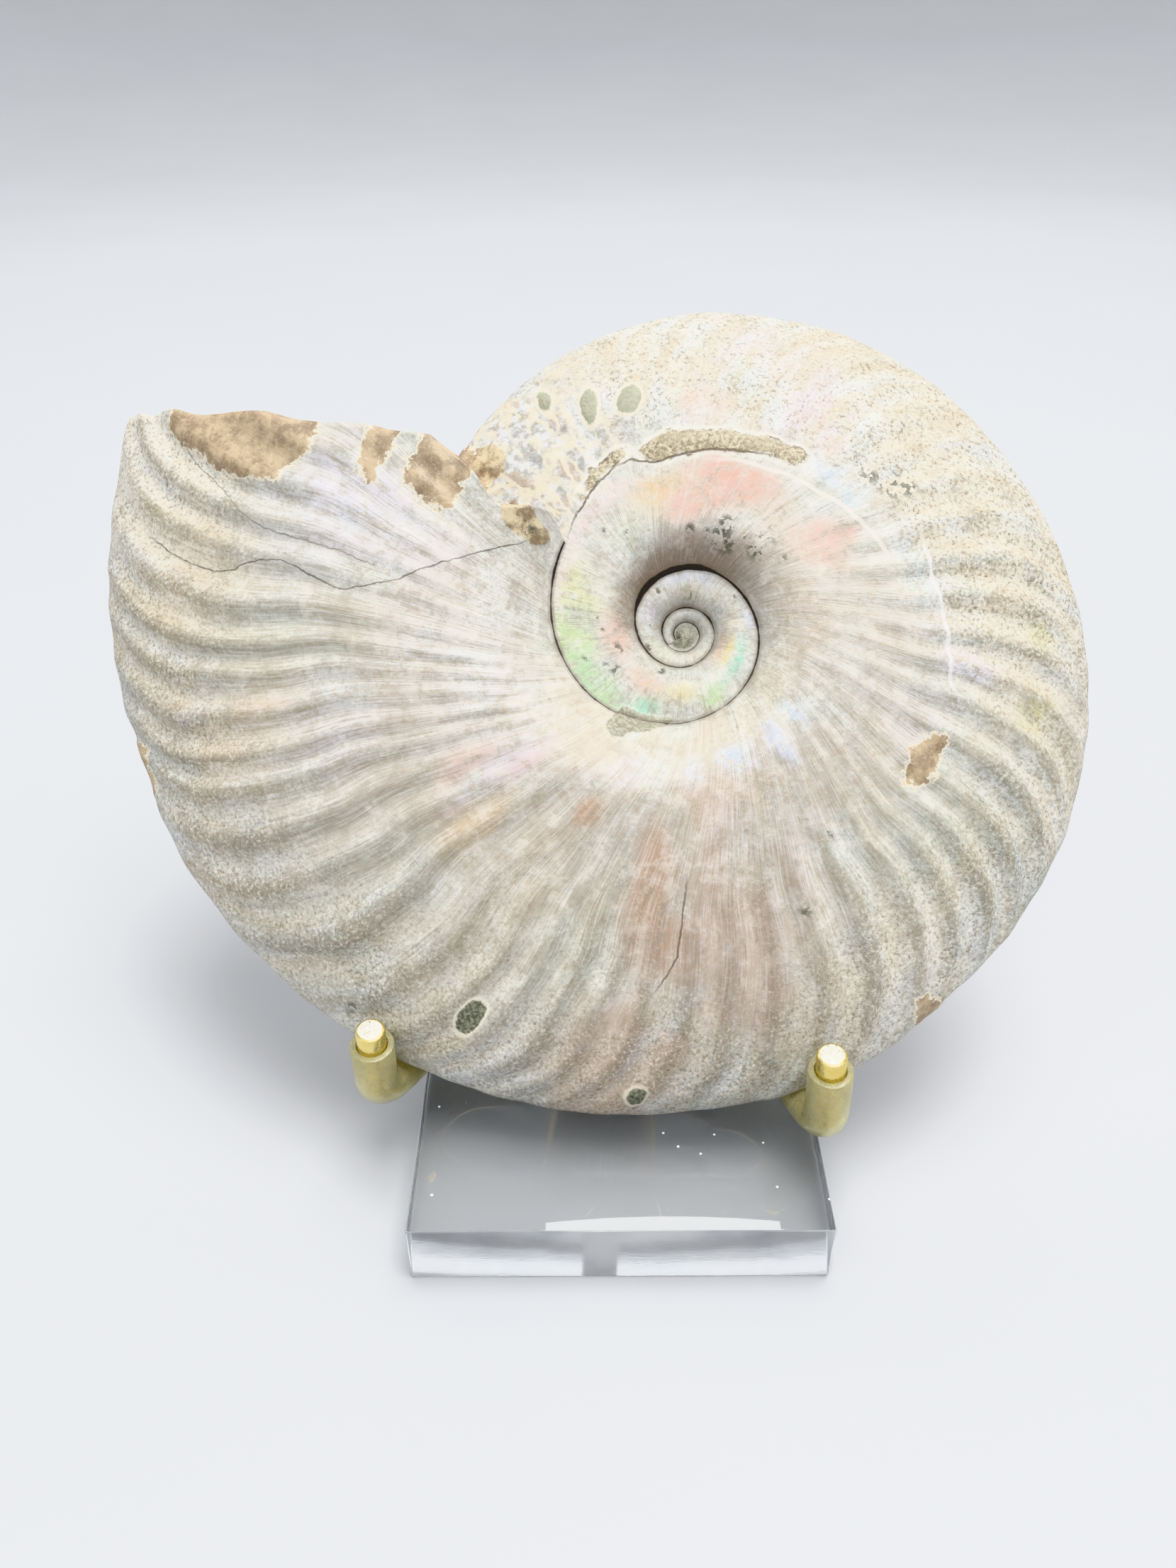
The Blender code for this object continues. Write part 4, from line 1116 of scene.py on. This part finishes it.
class Look:
    """Short ways of adding nodes to one new material; a colour of three numbers is on a scale of 0 to 255."""

    def __init__(self, name):
        self.material = bpy.data.materials.new(name)
        self.material.use_nodes = True
        self.tree = self.material.node_tree
        self.shader = self.tree.nodes["Principled BSDF"]

    def put(self, value, socket):
        if isinstance(value, bpy.types.NodeSocket):
            self.tree.links.new(value, socket)
        elif socket.type == "RGBA" and len(value) == 3:
            socket.default_value = (*paint(*value), 1)
        else:
            socket.default_value = value

    def set(self, **values):
        for name, value in values.items():
            self.put(value, self.shader.inputs[name.replace("_", " ")])

    def add(self, kind, inputs, **settings):
        made = self.tree.nodes.new(kind)
        for name, value in settings.items():
            setattr(made, name, value)
        for name, value in inputs.items():
            self.put(value, made.inputs[name])
        return made

    def math(self, operation, *values):
        return self.add("ShaderNodeMath", dict(enumerate(values)), operation=operation).outputs[0]

    def times(self, product, *factors):
        for factor in factors:
            product = self.math("MULTIPLY", product, factor)
        return product

    def place(self):
        return self.add("ShaderNodeTexCoord", {}).outputs["Object"]

    def attribute(self, name, output="Fac"):
        return self.add("ShaderNodeAttribute", {}, attribute_name=name).outputs[output]

    def stretch(self, vector, amounts):
        return self.add("ShaderNodeVectorMath", {0: vector, 1: amounts}, operation="MULTIPLY").outputs[0]

    def noise(self, vector, scale, detail=3.0, roughness=0.55):
        inputs = {"Vector": vector, "Scale": scale, "Detail": detail, "Roughness": roughness}
        return self.add("ShaderNodeTexNoise", inputs).outputs["Fac"]

    def step(self, value, low, high, start=0.0, end=1.0):
        inputs = {"Value": value, "From Min": low, "From Max": high, "To Min": start, "To Max": end}
        return self.add("ShaderNodeMapRange", inputs, interpolation_type="SMOOTHSTEP").outputs[0]

    def mix(self, share, first, second):
        made = self.add("ShaderNodeMix", {}, data_type="RGBA")
        colours = [socket for socket in made.inputs if socket.type == "RGBA"]
        self.put(share, made.inputs[0])
        self.put(first, colours[0])
        self.put(second, colours[1])
        return next(socket for socket in made.outputs if socket.type == "RGBA")

    def cover(self, colour, *layers):
        """Lays colours over one another, each as its value goes from low to high, up to its full share."""
        for value, low, high, full, over, *weights in layers:
            share = self.times(self.step(value, low, high, 0.0, full), *weights)
            colour = self.mix(share, colour, over)
        return colour

    def split(self, vector):
        made = self.add("ShaderNodeSeparateXYZ", {"Vector": vector})
        return [made.outputs[axis] for axis in "XYZ"]

    def dots(self, vector, scale):
        """Distance from the nearest of some scattered points."""
        return self.add("ShaderNodeTexVoronoi", {"Vector": vector, "Scale": scale}).outputs["Distance"]

    def warp(self, vector, scale, amount):
        """A place shifted unevenly, by noise at its own object place."""
        noise = self.add("ShaderNodeTexNoise", {"Vector": self.place(), "Scale": scale, "Detail": 2.0})
        inputs = {0: self.stretch(noise.outputs["Color"], (amount,) * 3), 1: vector}
        return self.add("ShaderNodeVectorMath", inputs, operation="ADD").outputs[0]

    def bump(self, height, distance, strength=1.0, normal=None):
        inputs = {"Height": height, "Distance": distance, "Strength": strength}
        if normal:
            inputs["Normal"] = normal
        return self.add("ShaderNodeBump", inputs).outputs[0]


# Half widths in millimetres, colours and strengths of the lines in CRACKS and TRACES
LINE_LOOKS = {
    "crack": ((0.20, (104, 94, 78), 0.6), (0.22, (84, 78, 68), 0.75), (0.28, (78, 72, 62), 0.7)),
    "trace": ((0.38, (92, 78, 58), 0.85), (0.60, (244, 236, 226), 0.7), (0.60, (244, 240, 240), 0.7)),
}


def nacre_look():
    look = Look("nacre")
    place = look.place()
    lines = look.attribute("lines", "Vector")
    wave = look.attribute("wave")
    grain = look.attribute("grain")
    wide_streak = look.noise(look.stretch(lines, (0.45, 0.05, 1.0)), 1.0, 4.0, 0.6)
    fine_streak = look.noise(look.stretch(lines, (3.2, 0.16, 1.0)), 1.0, 3.0, 0.6)
    blotch = look.noise(look.stretch(lines, (0.20, 0.08, 1.0)), 1.0, 5.0, 0.65)
    mottle = look.noise(place, 210.0, 4.0, 0.65)
    speckle = look.noise(place, 1250.0, 4.0, 0.75)
    grit = look.noise(place, 1700.0, 2.0, 0.6)
    tone = look.noise(place, 520.0, 3.0, 0.6)

    # Nacre: ground colour, play of colour, streaks, crests lightened as painted highlight, valleys darkened
    # as painted shade and dirt, and grain where it is worn
    shine = look.times(look.attribute("glow_share"), look.step(fine_streak, 0.34, 0.62, 0.55, 1.0),
                       look.step(tone, 0.36, 0.58, 0.55, 1.0))
    silk = look.step(grain, 1.0, 0.2, 0.12, 1.0)
    colour = look.cover(
        look.mix(shine, look.attribute("ground", "Color"), look.attribute("glow", "Color")),
        (wide_streak, 0.52, 0.70, 0.34, (222, 220, 218)),
        (wide_streak, 0.48, 0.32, 0.50, (150, 146, 130)),
        (mottle, 0.50, 0.34, 0.50, (154, 146, 130)),
        (mottle, 0.52, 0.66, 0.45, (236, 232, 222)),
        (tone, 0.46, 0.34, 0.35, (168, 150, 128)),
        (blotch, 0.50, 0.62, 0.50, (200, 184, 156), grain),
        (blotch, 0.49, 0.38, 0.50, (198, 204, 210), grain),
        (fine_streak, 0.50, 0.68, 0.42, (234, 232, 228), silk),
        (fine_streak, 0.48, 0.32, 0.52, (150, 142, 124), silk),
        # Painted light on the ribs: valleys darkened as painted shade mixed with dirt, crests lightened as
        # painted highlight
        (wave, -0.05, -1.2, 0.48, (122, 116, 98)),
        (wave, 0.15, 0.95, 0.25, (230, 224, 208)),
    )
    rusty = look.times(look.attribute("rust"), look.step(speckle, 0.40, 0.60, 0.25, 1.0), 0.42)
    colour = look.cover(
        look.mix(rusty, colour, (156, 118, 88)),
        (speckle, 0.51, 0.66, 0.70, (242, 236, 220), grain),
        (speckle, 0.49, 0.36, 0.85, (134, 120, 98), grain),
        (grit, 0.37, 0.29, 0.50, (96, 92, 80), grain),
    )
    # Painted shade on the umbilical wall, mixed to brown and broken by the fine streaks
    wall_painted_shade = look.times(look.attribute("shade"), look.step(fine_streak, 0.3, 0.7, 0.75, 0.5))
    colour = look.mix(wall_painted_shade, colour, (130, 112, 96))

    # Bare fill near the notch: grey stone with a net of cream veins
    warped = look.warp(look.stretch(lines, (0.42, 0.16, 1.0)), 300.0, 1.3)
    cells = look.add("ShaderNodeTexVoronoi", {"Vector": warped, "Scale": 0.62}, feature="DISTANCE_TO_EDGE")
    broken = look.step(mottle, 0.36, 0.56, 0.15, 0.9)
    stone = look.cover(
        (158, 156, 150),
        (tone, 0.40, 0.60, 1.0, (206, 206, 206)),
        (mottle, 0.50, 0.66, 0.65, (176, 148, 118)),
        (cells.outputs["Distance"], 0.17, 0.04, 1.0, (236, 226, 202), broken),
    )
    share = look.times(look.attribute("matrix"), look.step(tone, 0.3, 0.55, 0.65, 0.95))
    colour = look.mix(share, colour, stone)

    # Patches where the nacre is gone, each of its own stone and with its own kind of edge
    edge = look.times(look.math("SUBTRACT", tone, 0.5), 2.2)
    ragged = {name: look.math("ADD", look.attribute(name), look.times(edge, amount)) for name, amount in (
        ("amber", 2.4), ("strip", 1.0), ("oval", 0.6), ("block", 1.0), ("chip", 0.4))}
    honey = look.cover((138, 115, 88), (mottle, 0.38, 0.62, 1.0, (188, 165, 132)),
                       (speckle, 0.5, 0.7, 0.4, (216, 202, 174)))
    crystals = look.cover((120, 106, 82), (speckle, 0.38, 0.62, 1.0, (206, 196, 168)),
                          (mottle, 0.45, 0.62, 0.6, (154, 142, 116)))
    slate = look.cover((84, 86, 70), (speckle, 0.38, 0.62, 1.0, (150, 150, 128)),
                       (look.split(lines)[0], 120.0, 60.0, 0.6, (184, 182, 160)))
    rubble = look.cover((138, 116, 86), (mottle, 0.40, 0.58, 1.0, (214, 196, 160)),
                        (speckle, 0.46, 0.34, 0.7, (72, 64, 50)))
    drab = look.cover((134, 132, 112), (speckle, 0.35, 0.65, 1.0, (176, 174, 154)))
    colour = look.cover(
        colour,
        (ragged["amber"], 0.95, 0.45, 0.7, (240, 230, 206)),
        (ragged["amber"], 0.35, -0.15, 0.92, honey),
        (ragged["strip"], 1.7, 0.9, 0.5, (244, 240, 228)),
        (ragged["strip"], 0.70, 0.30, 1.0, (104, 88, 62), look.step(mottle, 0.40, 0.55, 0.9, 0.15)),
        (ragged["strip"], 0.20, -0.15, 1.0, crystals),
        (ragged["oval"], 0.90, 0.40, 0.65, (240, 232, 212)),
        (ragged["oval"], 0.20, -0.15, 1.0, slate),
        (ragged["block"], 0.3, -0.3, 0.9, rubble),
        (ragged["chip"], 0.2, -0.1, 1.0, drab),
    )
    spots = look.times(look.attribute("specks"), look.step(tone, 0.49, 0.54), 0.85)
    colour = look.mix(spots, colour, (84, 84, 66))

    # Lines: cracks, pale traces of an older edge, and painted shade along the seam between the whorls
    waver = look.times(look.math("SUBTRACT", look.noise(place, 420.0, 2.0), 0.5), 1.1)
    for name, marks in LINE_LOOKS.items():
        away = look.split(look.attribute(name, "Vector"))
        shown = look.split(look.attribute(f"{name}_share", "Vector"))
        for axis, (wide, dye, strength) in enumerate(marks):
            distance = look.math("ABSOLUTE", look.math("ADD", away[axis], waver))
            broken = look.step(mottle, 0.36, 0.5, strength * 0.6, strength)
            colour = look.cover(colour, (distance, wide, wide * 0.4, 1.0, dye, shown[axis], broken))
    # Painted shade in the crevice where the whorls meet: a brown fringe and a near-black core
    seam = look.math("ADD", look.attribute("seam"), look.times(waver, 0.3))
    colour = look.cover(colour, (seam, 0.9, 0.1, 0.50, (128, 114, 94)),
                        (seam, 0.12, -0.12, 1.0, (46, 40, 34)))

    # Fill inside the broken end, and the bead in the middle of the coil
    fill = look.cover((142, 128, 106), (mottle, 0.30, 0.70, 1.0, (188, 174, 150)),
                      (speckle, 0.52, 0.7, 0.6, (216, 206, 184)), (tone, 0.44, 0.32, 0.6, (104, 90, 70)))
    bead = look.cover((112, 110, 94), (speckle, 0.35, 0.65, 1.0, (166, 164, 146)))
    colour = look.mix(look.attribute("inside"), colour, fill)
    colour = look.mix(look.attribute("bead"), colour, bead)

    uneven = look.step(speckle, 0.35, 0.65, -0.05, 0.08)
    rough = look.math("ADD", look.step(grain, 0.1, 0.9, 0.34, 0.56), uneven)
    look.set(Base_Color=colour, Roughness=rough, Coat_Weight=0.12, Coat_Roughness=0.3, Specular_IOR_Level=0.5)
    grains = look.times(speckle, look.math("ADD", grain, 0.25))
    relief = look.math("ADD", grains, look.times(fine_streak, 0.45))
    look.set(Normal=look.bump(relief, 0.00028, 0.6, look.bump(mottle, 0.0005, 0.6)))
    return look.material


def brass_look():
    look = Look("brass")
    place = look.place()
    broad = look.noise(place, 120.0)
    fine = look.noise(place, 1800.0)
    colour = look.mix(look.step(broad, 0.3, 0.7), (0.76, 0.60, 0.20, 1), (0.90, 0.77, 0.36, 1))
    look.set(Base_Color=colour, Metallic=1.0, Roughness=look.step(fine, 0.3, 0.7, 0.16, 0.30))
    look.set(Normal=look.bump(fine, 0.00002))
    return look.material


def cut_end_glare_look():
    """The sawn ends of the rods: near white as a painted reflection of the lamp on the flat cut, matt, with
    small dark pits.
    """
    look = Look("cut_brass")
    place = look.place()
    colour = look.cover(
        (226, 222, 204), (look.noise(place, 900.0), 0.3, 0.7, 1.0, (250, 249, 242)),
        (look.noise(place, 2400.0, 2.0, 0.7), 0.44, 0.36, 1.0, (150, 142, 120)),
    )
    look.set(Base_Color=colour, Metallic=0.25, Roughness=0.45)
    return look.material


def steel_look():
    look = Look("steel")
    fine = look.noise(look.place(), 1500.0)
    colour = look.mix(look.step(fine, 0.3, 0.7), (0.45, 0.44, 0.42, 1), (0.62, 0.61, 0.58, 1))
    look.set(Base_Color=colour, Metallic=1.0, Roughness=look.step(fine, 0.3, 0.7, 0.25, 0.4))
    return look.material


def acrylic_look():
    """Clear and polished above and below, with dust and fine scratches on top."""
    look = Look("acrylic")
    place = look.place()
    above = look.step(look.split(place)[2], FOOT_THICKNESS * 0.8, FOOT_THICKNESS * 0.95)
    dust = look.times(look.step(look.dots(place, 200.0), 0.075, 0.05), above)
    scratches = 0.0
    for turn, amounts in ((25, (28.0, 300.0, 1.0)), (-50, (36.0, 400.0, 1.0)), (80, (30.0, 350.0, 1.0))):
        turned = look.add("ShaderNodeVectorRotate", {"Vector": place, "Angle": radians(turn)}).outputs[0]
        marks = look.step(look.dots(look.stretch(turned, amounts), 1.0), 0.12, 0.04)
        scratches = look.math("MAXIMUM", scratches, marks)
    rough = look.times(look.math("MAXIMUM", dust, look.times(scratches, 0.45)), above)
    look.set(Base_Color=(0.98, 0.99, 0.99, 1), IOR=1.49, Roughness=look.step(rough, 0.0, 1.0, 0.01, 0.6))
    look.set(Transmission_Weight=look.step(dust, 0.0, 1.0, 1.0, 0.1))
    return look.material


def side_reflection_look():
    """The sides of the block: milky white as a painted reflection of the room's light in the clear acrylic,
    with fine streaks, and with what lies behind still showing.
    """
    look = Look("acrylic_sides")
    place = look.place()
    fine = look.noise(look.stretch(place, (500.0, 500.0, 2600.0)), 1.0, 3.0)
    cloud = look.noise(place, 45.0)
    # Painted reflection: milky white over the clear sides
    colour = look.mix(look.step(cloud, 0.3, 0.7), (222, 226, 230), (244, 246, 248))
    look.set(Base_Color=colour, Transmission_Weight=look.step(cloud, 0.3, 0.7, 0.66, 0.54), IOR=1.49)
    look.set(Roughness=look.step(fine, 0.3, 0.7, 0.03, 0.10), Normal=look.bump(fine, 0.00002))
    return look.material


def drilled_look():
    """The walls of the drilled hole: white with fine rings."""
    look = Look("acrylic_drilled")
    rings = look.noise(look.stretch(look.place(), (60.0, 60.0, 3500.0)), 1.0, 2.0)
    colour = look.mix(look.step(rings, 0.35, 0.65), (236, 236, 230), (252, 252, 250))
    look.set(Base_Color=colour, IOR=1.49, Roughness=look.step(rings, 0.3, 0.7, 0.35, 0.6))
    return look.material


def tubing_look():
    look = Look("tubing")
    fine = look.noise(look.place(), 700.0)
    colour = look.mix(look.step(fine, 0.3, 0.7), (0.90, 0.84, 0.46, 1), (0.95, 0.91, 0.62, 1))
    look.set(Base_Color=colour, Transmission_Weight=look.step(fine, 0.3, 0.7, 0.66, 0.76), IOR=1.38)
    look.set(Roughness=look.step(fine, 0.3, 0.7, 0.10, 0.22))
    return look.material


# Floor, light and camera

def add_floor():
    """A pale round sheet that lies flat and sweeps up far away on all sides."""
    profile = [(0, 0), (FLOOR_FLAT / 2, 0), (FLOOR_FLAT, 0)]
    for angle in np.radians(range(5, 86, 5)):
        profile.append((FLOOR_FLAT + FLOOR_SWEEP * sin(angle), FLOOR_SWEEP * (1 - cos(angle))))
    look = Look("floor_paint")
    fine = look.noise(look.place(), 6.0)
    look.set(Base_Color=look.mix(fine, (0.52, 0.53, 0.55, 1), (0.56, 0.57, 0.59, 1)), Roughness=0.65)
    add_lathe("floor", profile, (0, 0, FLOOR_HEIGHT), look.material)


def add_light(name, place, target, size, power, colour):
    data = bpy.data.lights.new(name, "AREA")
    data.shape = "RECTANGLE"
    data.size, data.size_y = size
    data.energy = power
    data.color = colour
    made = bpy.data.objects.new(name, data)
    made.location = place
    made.rotation_euler = (Vector(target) - Vector(place)).to_track_quat("-Z", "Y").to_euler()
    bpy.context.scene.collection.objects.link(made)


def add_studio():
    add_floor()
    for light in LIGHTS:
        add_light(*light)
    world = bpy.data.worlds.new("studio")
    world.use_nodes = True
    background = world.node_tree.nodes["Background"]
    background.inputs["Color"].default_value = SKY_COLOUR
    background.inputs["Strength"].default_value = SKY_STRENGTH
    bpy.context.scene.world = world


def add_camera():
    data = bpy.data.cameras.new("photo_camera")
    data.lens = LENS
    data.sensor_width = SENSOR_WIDTH
    made = bpy.data.objects.new("photo_camera", data)
    made.location = CAMERA_PLACE
    made.rotation_euler = CAMERA_TURN
    bpy.context.scene.collection.objects.link(made)
    bpy.context.scene.camera = made


bpy.context.scene.view_settings.view_transform = "Khronos PBR Neutral"
add_camera()
add_studio()
ammonite = add_ammonite(nacre_look())
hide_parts("ammonite")
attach(ammonite, "root")
for piece, node, slot in add_stand(brass_look(), steel_look(), acrylic_look(), tubing_look()):
    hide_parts(node)
    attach(piece, "root")
